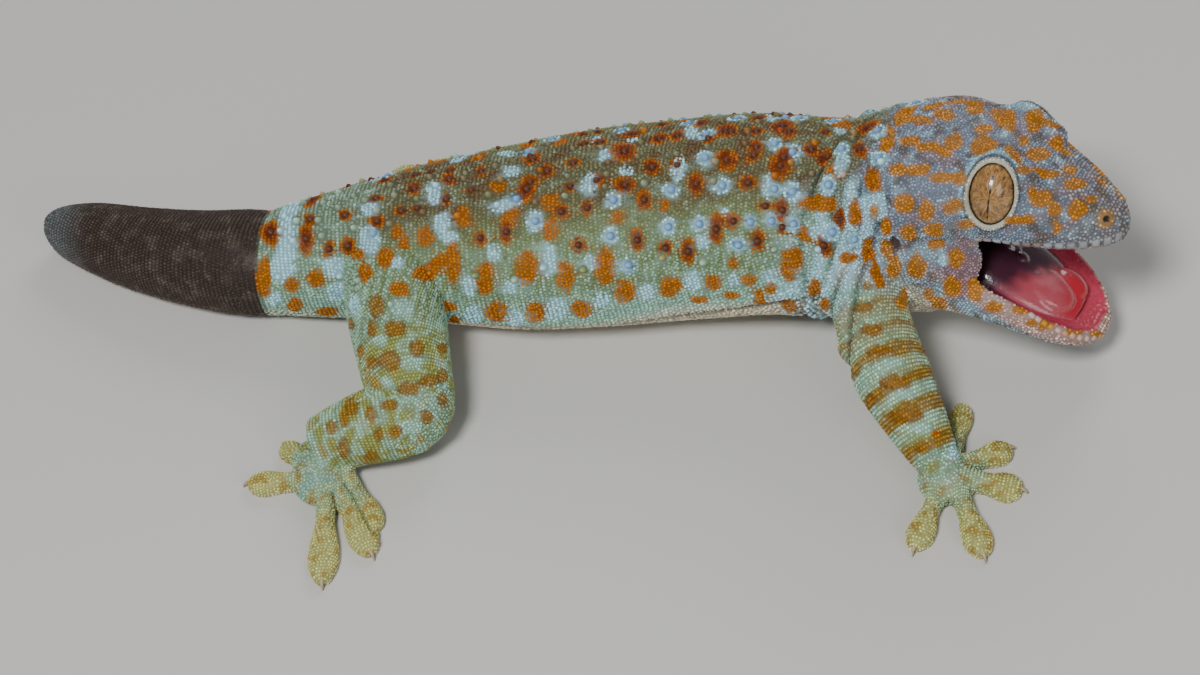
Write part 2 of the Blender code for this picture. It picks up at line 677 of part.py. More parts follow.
def tubercle_roots(thing):
    """Places in rows along the back where a cone stands wholly on this node."""
    surface = BVHTree.FromObject(thing, bpy.context.evaluated_depsgraph_get())
    rows = between(TAIL + TRUNK, 8)
    roots = []
    for row, angle in enumerate(TUBERCLE_ANGLES):
        x = TUBERCLE_SPAN[0] + (row % 2) * TUBERCLE_STEP / 2
        while x < TUBERCLE_SPAN[1]:
            station = min(rows, key=lambda item: abs(item[0] - x))
            turn = math.radians(angle + random.uniform(-2.5, 2.5))
            start = Vector((x + random.uniform(-0.8, 0.8), station[1], station[2]))
            way = Vector((0.0, math.sin(turn), math.cos(turn)))
            x += TUBERCLE_STEP
            hit, normal, _, _ = surface.ray_cast(start * MM, way)
            if hit is None or normal.dot(way) < 0.6:
                continue
            place = looking(hit / MM, normal)
            rim = [place @ Vector((0.0, 2.1 * math.cos(k), 2.1 * math.sin(k)))
                   for k in range(6)]
            if all(surface.find_nearest(point * MM)[3] < 0.35 * MM for point in rim):
                roots.append(place)
    return roots


def add_tubercles(name, thing):
    """Fuse the cones of one node with its skin in a single union."""
    bpy.context.view_layer.update()
    cones = bpy.data.collections.new("tubercles")
    for place in tubercle_roots(thing):
        cones.objects.link(tubercle(place, random.uniform(1.2, 1.5)))
    boolean = thing.modifiers.new("fuse", "BOOLEAN")
    boolean.operation = "UNION"
    boolean.solver = "EXACT"
    boolean.operand_type = "COLLECTION"
    boolean.collection = cones
    apply_modifiers(thing)
    print(name, "has", len(cones.objects), "tubercles")
    for cone in list(cones.objects):
        bpy.data.objects.remove(cone, do_unlink=True)
    bpy.data.collections.remove(cones)
    parts = loose_parts(thing)
    tidy(parts[0])
    whole = object_from(name, parts[0])
    whole.data.materials.clear()
    whole.data.materials.append(material("skin"))


clear_scene()
random.seed(SEED)
body_parts = build_body()
for name in ("tail_base", "torso", "neck"):
    add_tubercles(name, body_parts[name])
build_head()
build_eyes_and_tongue()
total = 0
for thing in sorted(bpy.data.objects, key=lambda item: item.name):
    count = sum(len(face.vertices) - 2 for face in thing.data.polygons)
    total += count
    print(f"{thing.name:28s} {count:6d} triangles")
print("all", total)
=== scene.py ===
# %% [markdown]
# This lesson dresses a life-size tokay gecko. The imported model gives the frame: where
# the body, the head, the open jaw, the legs and the eyes are. Here one living skin is
# laid over the solids, then small scales, cone-shaped tubercles, lips, eyes, tongue
# and claws are set on it, and everything is coloured from the same markings.
# %% Load the frame
import math
import random

import bmesh
import bpy
import numpy as np
from mathutils import Matrix, Vector, noise
from mathutils.bvhtree import BVHTree


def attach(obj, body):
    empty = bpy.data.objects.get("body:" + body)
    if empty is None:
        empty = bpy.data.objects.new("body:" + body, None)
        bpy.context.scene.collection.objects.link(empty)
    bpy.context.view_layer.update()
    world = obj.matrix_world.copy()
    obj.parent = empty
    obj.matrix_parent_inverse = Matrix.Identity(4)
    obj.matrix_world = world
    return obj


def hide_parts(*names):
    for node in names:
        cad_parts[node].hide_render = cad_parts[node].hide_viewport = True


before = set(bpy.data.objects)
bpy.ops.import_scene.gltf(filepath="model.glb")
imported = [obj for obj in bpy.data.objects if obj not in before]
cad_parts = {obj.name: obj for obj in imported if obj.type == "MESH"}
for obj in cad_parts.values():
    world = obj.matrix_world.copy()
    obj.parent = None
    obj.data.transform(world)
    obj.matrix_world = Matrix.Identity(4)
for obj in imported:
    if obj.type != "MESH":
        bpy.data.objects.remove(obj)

MM = 0.001
SEED = 11
random.seed(SEED)
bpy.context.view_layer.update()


def linked(thing):
    """Put an object into the scene, and hand it back."""
    bpy.context.scene.collection.objects.link(thing)
    return thing


def shade_smooth(thing):
    """Smooth shading on every face of an object."""
    for face in thing.data.polygons:
        face.use_smooth = True


def new_paint(name):
    """A new material, its node tree and its main shader."""
    made = bpy.data.materials.new(name)
    made.use_nodes = True
    return made, made.node_tree, made.node_tree.nodes["Principled BSDF"]


def set_sockets(shader, values):
    """Give sockets their plain values."""
    for name, value in values.items():
        shader.inputs[name].default_value = value


# %% [markdown]
# The camera stands where the photographer stood: above the animal's right side and a
# little in front. It is measured from the picture as a distance, an angle round the
# animal and a height, and it is turned so that the animal lies level in the frame.
# Knowing it exactly also lets a marking be placed by its picture position.
# %% The camera
TARGET = Vector((0.0, 0.0, 8.0))
DISTANCE = 520.0
AZIMUTH = math.radians(15.0)
ELEVATION = math.radians(44.0)
PIXELS_PER_MM = 5.6
FOCAL_PIXELS = PIXELS_PER_MM * DISTANCE
SENSOR_WIDTH = 36.0
TARGET_PIXEL = (600.0, 270.0)
PICTURE = (1200.0, 675.0)

outward = Vector((math.sin(AZIMUTH) * math.cos(ELEVATION),
                  -math.cos(AZIMUTH) * math.cos(ELEVATION), math.sin(ELEVATION)))
level = Vector((math.cos(AZIMUTH), math.sin(AZIMUTH), 0.0))
roll = math.atan(math.tan(AZIMUTH) * math.sin(ELEVATION))
right = level * math.cos(roll) - outward.cross(level) * math.sin(roll)
upward = outward.cross(right)
eye_point = TARGET + outward * DISTANCE
# Aim at the middle of the picture, which lies a little below the target.
drop = (PICTURE[1] / 2 - TARGET_PIXEL[1]) / FOCAL_PIXELS
forward = (-outward - upward * drop).normalized()
upward = right.cross(forward)

lens = bpy.data.cameras.new("lens")
lens.sensor_width = SENSOR_WIDTH
lens.lens = SENSOR_WIDTH * FOCAL_PIXELS / PICTURE[0]
lens.clip_start = 0.01
lens.clip_end = 20.0
camera = linked(bpy.data.objects.new("camera", lens))
turn = Matrix((right, upward, -forward)).transposed().to_4x4()
camera.matrix_world = Matrix.Translation(eye_point * MM) @ turn
bpy.context.scene.camera = camera


def sight_line(px, py):
    """The direction from the camera through a pixel of the 1200 by 675 picture."""
    across = (px - PICTURE[0] / 2) / FOCAL_PIXELS
    down = (py - PICTURE[1] / 2) / FOCAL_PIXELS
    return (forward + right * across - upward * down).normalized()


print("camera at", [round(value) for value in eye_point], "mm, lens", round(lens.lens, 1))

# %% [markdown]
# A museum sets such a model on a plain pale surface under large soft lights. One big
# lamp stands above and beside the camera, as the flash did, and a weaker one fills
# the far side, so that the scales cast small shadows without hard edges.
# %% Floor and light


def area_light(name, place, size, power):
    """A square lamp aimed at the animal."""
    data = bpy.data.lights.new(name, "AREA")
    data.size = size
    data.energy = power
    lamp = linked(bpy.data.objects.new(name, data))
    aim = (Vector((0, 0, 0.01)) - Vector(place)).to_track_quat("-Z", "Y")
    lamp.matrix_world = Matrix.Translation(place) @ aim.to_matrix().to_4x4()


area_light("key_light", (-0.12, -0.55, 0.85), 0.24, 8.4)
area_light("fill_light", (0.55, -0.60, 0.35), 0.4, 1.5)
area_light("rim_light", (0.2, 0.8, 0.6), 0.5, 3.0)

world = bpy.data.worlds.new("studio")
world.use_nodes = True
set_sockets(world.node_tree.nodes["Background"],
            {"Color": (0.92, 0.94, 1.0, 1.0), "Strength": 0.15})
bpy.context.scene.world = world

floor_mesh = bpy.data.meshes.new("floor")
bm = bmesh.new()
bmesh.ops.create_grid(bm, x_segments=1, y_segments=1, size=3.0)
bm.to_mesh(floor_mesh)
bm.free()
floor = linked(bpy.data.objects.new("floor", floor_mesh))
floor_paint, _, floor_shader = new_paint("pale_floor")
set_sockets(floor_shader, {"Base Color": (0.60, 0.59, 0.56, 1.0), "Roughness": 0.8})
floor_mesh.materials.append(floor_paint)
print("three lamps over a pale floor")

# %% [markdown]
# The animal's measures are the same as in the model's source: stations along the
# tail and trunk, the head and the jaw in the head's own frame, and a line of balls
# down each leg. They are in millimetres, with x towards the head and z up.
# %% Measures of the body
TAIL = [
    (-108.0, 15.0, 4.0, 2.4, 3.0, 4.0, 0),
    (-105.0, 13.9, 4.8, 4.4, 4.6, 5.2, 0),
    (-98.0, 11.4, 5.6, 6.3, 6.1, 6.3, 0),
    (-88.0, 7.6, 6.2, 7.7, 7.3, 6.9, 0),
    (-76.0, 4.2, 7.0, 8.9, 8.4, 7.7, 0),
    (-66.0, 2.6, 7.6, 9.8, 9.1, 8.3, 0),
    (-60.5, 2.3, 7.8, 9.6, 8.8, 8.4, 0),
]
TRUNK = [
    (-58.0, 2.5, 8.0, 10.2, 9.5, 8.6, 0),
    (-50.0, 3.2, 8.6, 11.8, 10.8, 9.3, -2),
    (-40.0, 4.0, 9.4, 13.6, 12.6, 10.2, -4),
    (-28.0, 4.6, 10.2, 16.2, 14.4, 11.0, -5),
    (-14.0, 5.2, 11.0, 18.6, 15.8, 12.6, -6),
    (0.0, 6.6, 11.8, 19.4, 16.8, 13.8, -6),
    (14.0, 7.2, 13.0, 19.2, 17.2, 14.2, -6),
    (28.0, 6.2, 15.6, 18.8, 17.2, 14.8, -6),
    (39.0, 4.2, 18.6, 17.2, 15.9, 17.0, -7),
    (48.0, 2.8, 21.8, 16.0, 13.8, 19.4, -9),
    (55.0, 1.6, 25.0, 15.6, 11.2, 21.2, -10),
    (61.0, 0.4, 26.8, 14.4, 9.4, 20.4, -11),
]
HEAD_ORIGIN = (92.9, -10.9, 25.6)
HEAD_YAW = -18.0
HEAD_PITCH = -3.5
HEAD_ROLL = -8.5
JAW_HINGE = (-38.0, -1.6)
JAW_GAPE = 25.5
EYE_CENTRE = (-21.3, 7.4, 9.4)
EYE_RADIUS = 6.0
EYE_SHAPE = (1.0, 0.72, 1.04)
EYE_TILT_UP = 18.0
EYE_TILT_FORWARD = 8.0
CRANIUM = [
    (-0.4, 1.4, 1.2, 4.2),
    (-1.6, 3.3, 0.5, 5.9),
    (-3.8, 5.3, 0.1, 7.6),
    (-7.4, 7.7, -0.2, 9.4),
    (-11.5, 9.6, -0.3, 11.2),
    (-16.0, 11.2, -0.4, 13.0),
    (-21.0, 12.4, -0.6, 14.4),
    (-27.0, 14.0, -1.6, 15.0),
    (-33.0, 15.6, -3.6, 14.6),
    (-39.0, 15.8, -6.0, 12.4),
    (-46.0, 14.6, -8.0, 8.8),
    (-55.0, 12.0, -11.0, 3.5),
]
JAW = [
    (-6.0, 12.6, 0.4, -20.0),
    (2.0, 13.8, 1.0, -18.8),
    (10.0, 13.4, 2.0, -14.2),
    (18.0, 12.8, 2.8, -8.8),
    (25.5, 12.0, 2.8, -5.4),
    (32.0, 10.4, 2.2, -3.6),
    (36.6, 7.8, 1.4, -2.6),
    (39.2, 4.8, 0.9, -2.1),
    (40.4, 2.2, 0.5, -1.5),
]
TONGUE = [
    (13.0, 5.0, 1.8, -3.4),
    (18.0, 8.2, 2.4, -3.6),
    (25.0, 8.2, 2.3, -3.0),
    (30.5, 6.6, 1.6, -2.2),
    (34.8, 3.8, 0.8, -1.3),
]
TROUGH = [
    (10.0, 7.0, 6.0, -0.8),
    (17.0, 10.8, 6.0, -1.2),
    (25.0, 10.3, 6.0, -0.9),
    (31.5, 8.8, 5.0, -0.4),
    (36.2, 6.2, 4.0, -0.1),
    (38.4, 3.6, 4.0, 0.1),
]
PHARYNX = [
    (-15.0, 11.6, 6.4),
    (-21.0, 9.4, 4.6),
    (-26.0, 8.4, 3.6),
    (-32.0, 7.0, 2.6),
    (-37.0, 4.0, 1.4),
]
PALATE = [
    (-2.6, 2.2, -3.0, 1.0),
    (-6.5, 5.4, -3.0, 1.9),
    (-13.0, 8.3, -3.0, 2.6),
    (-20.0, 10.2, -3.0, 2.6),
    (-27.0, 10.8, -4.0, 1.6),
]
LEGS = {
    "front_right": [
        (43.5, -4.0, 20.0, 8.0), (47.5, -11.5, 18.4, 7.0), (51.0, -21.0, 15.4, 6.2),
        (54.2, -29.0, 12.2, 6.3), (57.6, -34.4, 8.8, 5.4), (61.6, -40.4, 4.6, 3.9),
    ],
    "front_left": [
        (41.5, 11.0, 18.6, 8.0), (41.0, 18.5, 15.5, 6.8), (40.0, 24.5, 11.6, 6.0),
        (39.0, 29.0, 8.6, 5.8), (43.5, 31.5, 6.6, 5.0), (49.5, 34.0, 4.2, 3.8),
    ],
    "hind_right": [
        (-37.0, -1.0, 12.0, 9.4), (-34.0, -15.0, 11.4, 8.6), (-30.5, -26.5, 10.0, 7.8),
        (-28.6, -34.6, 8.2, 6.9), (-36.0, -37.6, 7.2, 6.3), (-44.8, -39.8, 5.0, 4.7),
    ],
    "hind_left": [
        (-38.0, 8.0, 10.6, 9.0), (-31.5, 16.4, 8.8, 7.8), (-22.5, 21.4, 7.4, 6.9),
        (-14.0, 25.0, 5.8, 6.0), (-21.5, 27.8, 5.0, 5.0), (-29.5, 28.4, 4.2, 4.2),
    ],
}
FEET = {
    "front_right": ((63.6, -43.2), 5.0, [
        ((64.7, -35.4), (65.3, -25.6), 1.9), ((67.4, -39.0), (73.6, -35.2), 2.4),
        ((68.4, -43.2), (75.8, -44.3), 2.8), ((66.3, -47.6), (70.2, -58.4), 2.4),
        ((61.7, -47.6), (58.9, -57.2), 2.3)]),
    "front_left": ((52.4, 35.4), 5.0, [
        ((53.0, 31.0), (57.0, 24.6), 2.3), ((56.4, 33.2), (63.4, 29.6), 3.0),
        ((57.2, 36.6), (65.4, 37.6), 3.4), ((55.0, 39.8), (59.6, 45.6), 3.0),
        ((50.6, 40.0), (50.2, 46.4), 2.8)]),
    "hind_right": ((-43.4, -45.2), 5.2, [
        ((-38.4, -45.2), (-32.0, -55.2), 2.3), ((-38.8, -49.4), (-32.0, -60.4), 2.6),
        ((-41.8, -50.4), (-39.3, -66.8), 2.6), ((-47.6, -45.3), (-56.8, -45.4), 2.4),
        ((-48.2, -40.8), (-52.2, -36.4), 2.0)]),
    "hind_left": ((-33.4, 27.8), 5.0, [
        ((-31.6, 31.4), (-28.6, 37.2), 2.4), ((-35.6, 31.6), (-37.0, 36.0), 2.9),
        ((-37.6, 29.6), (-45.0, 33.2), 2.9), ((-38.0, 26.6), (-48.4, 27.0), 2.8),
        ((-36.6, 24.0), (-43.6, 20.6), 2.2)]),
}
TOE_THICKNESS = 2.5
# In the head's frame, on its left side; the right side mirrors them.
NOSTRIL = (-3.2, 3.8, 6.3)
EAR = (-35.4, 15.4, -1.6)
print("stations: tail", len(TAIL), "trunk", len(TRUNK), "head", len(CRANIUM), "jaw", len(JAW))

# %% [markdown]
# Soft tapered forms are lofted: a ring of points is placed at each station and the
# rings are bridged. A smooth curve through the stations gives rings in between, so
# a short table of measures makes a full form. The head and the jaw each have a frame
# of their own, turned and tilted as the animal holds them.
# %% Lofting helpers


def between(rows, steps):
    """Rows of numbers joined by a smooth curve that passes through each row."""
    last = len(rows) - 1
    made = []
    for i in range(last):
        a, b, c, d = (rows[max(0, min(last, j))] for j in (i - 1, i, i + 1, i + 2))
        for k in range(steps):
            t = k / steps
            made.append([
                q + 0.5 * t * (r - p + t * (2 * p - 5 * q + 4 * r - s
                                            + t * (3 * (q - r) + s - p)))
                for p, q, r, s in zip(a, b, c, d)])
    made.append(list(rows[-1]))
    return made


def section(place, size, powers, sides):
    """One ring of points: a rounded outline about a frame whose x is forward."""
    half_width, above, below = size
    ring = []
    for k in range(sides):
        angle = 2.0 * math.pi * (k + 0.5) / sides
        across, rise = math.cos(angle), math.sin(angle)
        power = powers[0] if rise >= 0 else powers[1]
        height = above if rise >= 0 else below
        ring.append(place @ Vector((
            0.0,
            half_width * math.copysign(abs(across) ** (2.0 / power), across),
            height * math.copysign(abs(rise) ** (2.0 / power), rise))))
    return ring


def tube(bm, places, sizes, powers=(2.0, 2.4), sides=28):
    """A closed tube through the frames, added to a bmesh."""
    part = bmesh.new()
    loops = []
    for place, size in zip(places, sizes):
        verts = [part.verts.new(point * MM) for point in section(place, size, powers, sides)]
        loops.append([part.edges.new((verts[k], verts[(k + 1) % sides]))
                      for k in range(sides)])
    for first, second in zip(loops, loops[1:]):
        bmesh.ops.bridge_loops(part, edges=first + second)
    for loop in (loops[0], loops[-1]):
        made = bmesh.ops.contextual_create(part, geom=loop)
        bmesh.ops.poke(part, faces=made["faces"])
    bmesh.ops.recalc_face_normals(part, faces=part.faces)
    mesh = bpy.data.meshes.new("tube")
    part.to_mesh(mesh)
    part.free()
    bm.from_mesh(mesh)
    bpy.data.meshes.remove(mesh)


def looking(point, ahead):
    """A level frame at a point whose x axis looks ahead."""
    ahead = ahead.normalized()
    side = Vector((0, 0, 1)).cross(ahead).normalized()
    turned = Matrix((ahead, side, ahead.cross(side))).transposed().to_4x4()
    return Matrix.Translation(point) @ turned


def frames_along(points, rolls):
    """Frames that look along a line of points, level apart from their roll."""
    places = []
    for i, point in enumerate(points):
        ahead = points[min(i + 1, len(points) - 1)] - points[max(i - 1, 0)]
        places.append(looking(point, ahead) @ Matrix.Rotation(math.radians(rolls[i]), 4, "X"))
    return places


head = (Matrix.Translation(Vector(HEAD_ORIGIN))
        @ Matrix.Rotation(math.radians(HEAD_YAW), 4, "Z")
        @ Matrix.Rotation(math.radians(-HEAD_PITCH), 4, "Y")
        @ Matrix.Rotation(math.radians(HEAD_ROLL), 4, "X"))
jaw = (head @ Matrix.Translation(Vector((JAW_HINGE[0], 0.0, JAW_HINGE[1])))
       @ Matrix.Rotation(math.radians(JAW_GAPE), 4, "Y"))


def eye_frame(side):
    """The eye's frame, x out of the head along the line of sight."""
    ahead = math.radians(EYE_TILT_FORWARD)
    rise = math.radians(EYE_TILT_UP)
    out = Vector((math.sin(ahead), side * math.cos(ahead), 0.0)) * math.cos(rise)
    out.z = math.sin(rise)
    across = Vector((0, 0, 1)).cross(out).normalized()
    turned = Matrix((out, across, out.cross(across))).transposed().to_4x4()
    centre = Matrix.Translation((EYE_CENTRE[0], side * EYE_CENTRE[1], EYE_CENTRE[2]))
    return head @ centre @ turned @ Matrix.Diagonal(EYE_SHAPE).to_4x4()


def in_metres(place):
    """The same frame with its position in metres."""
    return Matrix.Translation(place.to_translation() * MM) @ place.to_3x3().to_4x4()


def ball(bm, centre, radii, place=None, detail=20):
    """An ellipsoid, turned with a frame if one is given."""
    spot = in_metres((place or Matrix.Identity(4)) @ Matrix.Translation(Vector(centre)))
    shape = Matrix.Diagonal(Vector(radii) * MM).to_4x4()
    bmesh.ops.create_uvsphere(bm, u_segments=detail, v_segments=detail // 2, radius=1.0,
                              matrix=spot @ shape)


def hoop(bm, place, radius, thickness, sides=48):
    """A closed hoop about a frame's x axis."""
    part = bmesh.new()
    made = bmesh.ops.create_circle(part, segments=14, radius=thickness * MM)
    bmesh.ops.translate(part, vec=(0, radius * MM, 0), verts=made["verts"])
    bmesh.ops.spin(part, geom=part.verts[:] + part.edges[:], cent=(0, 0, 0), axis=(1, 0, 0),
                   angle=2 * math.pi, steps=sides, use_merge=True, use_duplicate=False)
    bmesh.ops.remove_doubles(part, verts=part.verts, dist=0.00002)
    bmesh.ops.recalc_face_normals(part, faces=part.faces)
    bmesh.ops.transform(part, matrix=in_metres(place), verts=part.verts)
    mesh = bpy.data.meshes.new("hoop")
    part.to_mesh(mesh)
    part.free()
    bm.from_mesh(mesh)
    bpy.data.meshes.remove(mesh)


def object_from(name, bm):
    """Put a bmesh into a new object in the scene."""
    mesh = bpy.data.meshes.new(name)
    bm.to_mesh(mesh)
    bm.free()
    return linked(bpy.data.objects.new(name, mesh))


def apply_modifiers(thing):
    """Turn what the modifiers show into the object's own mesh."""
    graph = bpy.context.evaluated_depsgraph_get()
    graph.update()
    mesh = bpy.data.meshes.new_from_object(thing.evaluated_get(graph))
    thing.modifiers.clear()
    old = thing.data
    thing.data = mesh
    bpy.data.meshes.remove(old)


def blend(thing, voxel, rounds):
    """Fuse overlapping closed shapes into one soft surface."""
    remesh = thing.modifiers.new("blend", "REMESH")
    remesh.mode = "VOXEL"
    remesh.voxel_size = voxel * MM
    soften = thing.modifiers.new("soften", "SMOOTH")
    soften.factor = 0.5
    soften.iterations = rounds
    apply_modifiers(thing)


def cut_away(thing, shape, *sizes, **more):
    """Take one shape, made by its function from its sizes, away from an object."""
    bm = bmesh.new()
    shape(bm, *sizes, **more)
    cutter = object_from("cutter", bm)
    boolean = thing.modifiers.new("cut", "BOOLEAN")
    boolean.operation = "DIFFERENCE"
    boolean.solver = "EXACT"
    boolean.object = cutter
    apply_modifiers(thing)
    bpy.data.objects.remove(cutter, do_unlink=True)


def ordered(rows):
    """Rows of x, half width and two heights, with the lower height first."""
    return [(x, width, min(a, b), max(a, b)) for x, width, a, b in rows]


def on_side(place, side):
    """A place of the head's left side, or the same place on the right."""
    return place[0], side * place[1], place[2]


print("head frame at", [round(value, 1) for value in head.to_translation()], "mm")

# %% [markdown]
# The head comes first, because it holds the finest forms. Cranium, jaw, cheeks and
# the swelling over each eye are fused, and then the mouth, the nostrils, the ear
# slits and the eye sockets are cut out of it. The lids are hoops round the sockets.
# %% The head with its mouth, sockets, ears and nostrils


def head_tube(bm, place, rows, powers, grow=0.0, steps=5, sides=44):
    """A tube of stations x, half width, low and high about a frame."""
    places = []
    sizes = []
    for x, half_width, low, high in between(ordered(rows), steps):
        middle = low + (high - low) * 0.42
        places.append(place @ Matrix.Translation((x, 0, middle)))
        sizes.append((half_width + grow, high - middle + grow, middle - low + grow))
    tube(bm, places, sizes, powers, sides)


def throat_frames():
    """Frames and sizes of the room between the jaws, back to the throat."""
    slope = math.tan(math.radians(JAW_GAPE * 0.5))
    places = []
    sizes = []
    for x, half_width, half_height in between(PHARYNX, 4):
        fall = (x - JAW_HINGE[0]) * slope * 0.92
        places.append(head @ Matrix.Translation((x, 0, JAW_HINGE[1] + 0.6 - fall))
                      @ Matrix.Rotation(math.radians(JAW_GAPE * 0.5), 4, "Y"))
        sizes.append((half_width, half_height, half_height))
    return places, sizes


def throat_room(bm):
    """The room between the jaws as a closed tube."""
    tube(bm, *throat_frames(), (2.2, 2.2), 32)


def nostril_frame(side):
    """A frame at a nostril, its x axis out of the skin."""
    out = (head.to_3x3() @ Vector((0.45, side * 0.80, 0.42))).normalized()
    return looking(head @ Vector(on_side(NOSTRIL, side)), out)


bm = bmesh.new()
head_tube(bm, head, CRANIUM, (2.5, 3.4))
head_tube(bm, jaw, JAW, (3.6, 2.2))
for side in (-1, 1):
    gaze = eye_frame(side)
    ball(bm, (-34.0, side * 7.4, -5.4), (9.6, 8.0, 9.4), head, 28)
    ball(bm, (-1.0, 0, 0), (EYE_RADIUS + 0.9,) * 3, gaze, 32)
    hoop(bm, gaze @ Matrix.Translation((3.4, 0, 0)), 5.55, 0.62)
    ball(bm, (-28.0, side * 10.6, -5.0), (6.6, 2.4, 10.5), head, 24)
    ball(bm, (-22.4, side * 6.8, 12.2), (8.6, 4.2, 2.6), head, 20)
    ball(bm, (-4.2, side * 3.0, 5.7), (2.2, 1.7, 1.3), head, 16)
    hoop(bm, gaze @ Matrix.Translation((2.2, 0, 0)), 6.65, 0.42)
    hoop(bm, nostril_frame(side), 0.8, 0.30, 24)
head_form = object_from("head_form", bm)
blend(head_form, 0.4, 4)
cut_away(head_form, throat_room)
cut_away(head_form, head_tube, head, PALATE, (2.2, 2.2))
cut_away(head_form, head_tube, jaw, TROUGH, (2.6, 2.4))
for side in (-1, 1):
    gaze = eye_frame(side)
    cut_away(head_form, ball, (-0.1, 0, 0), (1.3, 0.62, 0.50), nostril_frame(side), 16)
    cut_away(head_form, ball, (-35.4, side * 16.1, -1.6), (0.8, 2.2, 2.5), head, 18)
    cut_away(head_form, ball, (0, 0, 0), (EYE_RADIUS + 0.15,) * 3, gaze, 40)
    cut_away(head_form, ball, (6.0, 0, 0), (4.5, 5.9, 5.9), gaze, 44)
print("head form:", len(head_form.data.polygons), "faces")

# %% [markdown]
# Now the whole skin. The trunk, the tail, the legs, the feet and the finished head
# overlap as closed forms, and a fine voxel remesh melts them into one surface with
# no seam, as skin is. Toes end in broad pads that lie flat on the floor, so every
# point that would sink below the floor is laid level with it.
# %% One skin
SKIN_TRIANGLES = 186000


def trunk_frames(steps=4):
    """Frames and sizes along the tail and trunk."""
    rows = between(TAIL + TRUNK, steps)
    places = frames_along([Vector(row[:3]) for row in rows], [row[6] for row in rows])
    return places, [row[3:6] for row in rows]


def limb_frames(leg, steps=5):
    """Frames and sizes down one leg."""
    rows = between(LEGS[leg], steps)
    places = frames_along([Vector(row[:3]) for row in rows], [0.0] * len(rows))
    return places, [(row[3], row[3], row[3] * 0.94) for row in rows]


def toe_frames(base, tip, pad, steps=3):
    """Frames and sizes along a toe: a slim base, then a broad flat pad."""
    start, end = Vector((*base, 1.7)), Vector((*tip, 1.0))
    rows = []
    for t, width, height in ((-0.28, 0.62, 1.5), (0.0, 0.60, 1.35), (0.28, 0.62, 1.2),
                             (0.52, 0.92, 1.05), (0.74, 1.0, 0.95), (0.90, 0.74, 0.8),
                             (1.0, 0.34, 0.5)):
        rows.append((*start.lerp(end, t), pad * width, height * TOE_THICKNESS * 0.62, 2.2))
    rows = between(rows, steps)
    places = frames_along([Vector(row[:3]) for row in rows], [0.0] * len(rows))
    return places, [row[3:6] for row in rows]


bm = bmesh.new()
tube(bm, *trunk_frames(), (2.0, 2.4), 48)
for leg in LEGS:
    tube(bm, *limb_frames(leg), (2.0, 2.2), 28)
    (x, y), radius, toes = FEET[leg]
    wrist, palm = Vector(LEGS[leg][-1][:3]), Vector((x, y, 2.0))
    ball(bm, palm, (radius, radius, 2.6))
    ball(bm, wrist.lerp(palm, 0.45), (LEGS[leg][-1][3], LEGS[leg][-1][3], 3.4))
    for toe in toes:
        tube(bm, *toe_frames(*toe), (2.0, 2.6), 18)
bm.from_mesh(head_form.data)
bpy.data.objects.remove(head_form, do_unlink=True)
skin = object_from("skin", bm)
blend(skin, 0.42, 4)
fewer = skin.modifiers.new("fewer", "DECIMATE")
fewer.ratio = SKIN_TRIANGLES / sum(len(face.vertices) - 2 for face in skin.data.polygons)
fewer.use_collapse_triangulate = True
apply_modifiers(skin)
print("skin:", len(skin.data.polygons), "triangles")

# %% [markdown]
# The looks of the skin depend on where a point lies on the animal. This cell gives
# each point its place: how far along the trunk and how far round it from the spine,
# its position in the head's and jaw's frames, and how near it is to a leg or a toe.
# NumPy does this for a hundred thousand points at once.
# %% Where a point lies on the animal


def mesh_points(mesh, what="co"):
    """Positions in millimetres, or normals, of a mesh's vertices as an array."""
    source = mesh.vertices if what == "co" else mesh.vertex_normals
    flat = np.empty(len(mesh.vertices) * 3, dtype=np.float32)
    source.foreach_get("co" if what == "co" else "vector", flat)
    return flat.reshape(-1, 3).astype(float) * (1 / MM if what == "co" else 1.0)


def smooth(value, low, high):
    """Rises softly from 0 at low to 1 at high, or falls when low is the larger."""
    t = np.clip((value - low) / (high - low), 0.0, 1.0)
    return t * t * (3.0 - 2.0 * t)


def in_frame(points, place):
    """Points in a frame's own coordinates."""
    back = np.array(place.inverted())
    return points @ back[:3, :3].T + back[:3, 3]


def in_tube(points, place, rows, grow=0.0):
    """True for points inside a head tube made thicker by grow."""
    local = in_frame(points, place)
    table = np.array(sorted(ordered(between(rows, 4))))
    width, low, high = (np.interp(local[:, 0], table[:, 0], table[:, k]) for k in (1, 2, 3))
    middle = (low + high) / 2
    reach = ((np.abs(local[:, 1]) / (width + grow)) ** 2.4
             + (np.abs(local[:, 2] - middle) / ((high - low) / 2 + grow)) ** 2.4)
    inside = (local[:, 0] > table[0, 0] - grow) & (local[:, 0] < table[-1, 0] + grow)
    return inside & (reach < 1.0)


def in_mouth(points, grow=0.35):
    """True for points on the wet lining of the mouth."""
    wet = in_tube(points, head, PALATE, grow) | in_tube(points, jaw, TROUGH, grow)
    places, sizes = throat_frames()
    for place, (width, height, _) in zip(places, sizes):
        local = in_frame(points, place)
        near = np.abs(local[:, 0]) < 0.9
        wet |= near & ((local[:, 1] / (width + grow)) ** 2
                       + (local[:, 2] / (height + grow)) ** 2 < 1.0)
    return wet


trunk_rows = np.array(between(TAIL + TRUNK, 6))


def on_trunk(points):
    """Angle from the spine in degrees, 0 to 180, the side, and the trunk's half width."""
    at = points[:, 0]
    middle_y, middle_z, width, above, below = (
        np.interp(at, trunk_rows[:, 0], trunk_rows[:, k]) for k in (1, 2, 3, 4, 5))
    across = (points[:, 1] - middle_y) / width
    rise = points[:, 2] - middle_z
    rise = np.where(rise > 0, rise / above, rise / below)
    return np.degrees(np.arctan2(np.abs(across), rise)), np.sign(across), width


def toe_line(toe):
    """The line down the middle of a toe, with its radii."""
    base, tip, pad = toe
    return [(*base, 1.7, pad), (*tip, 1.0, pad)]


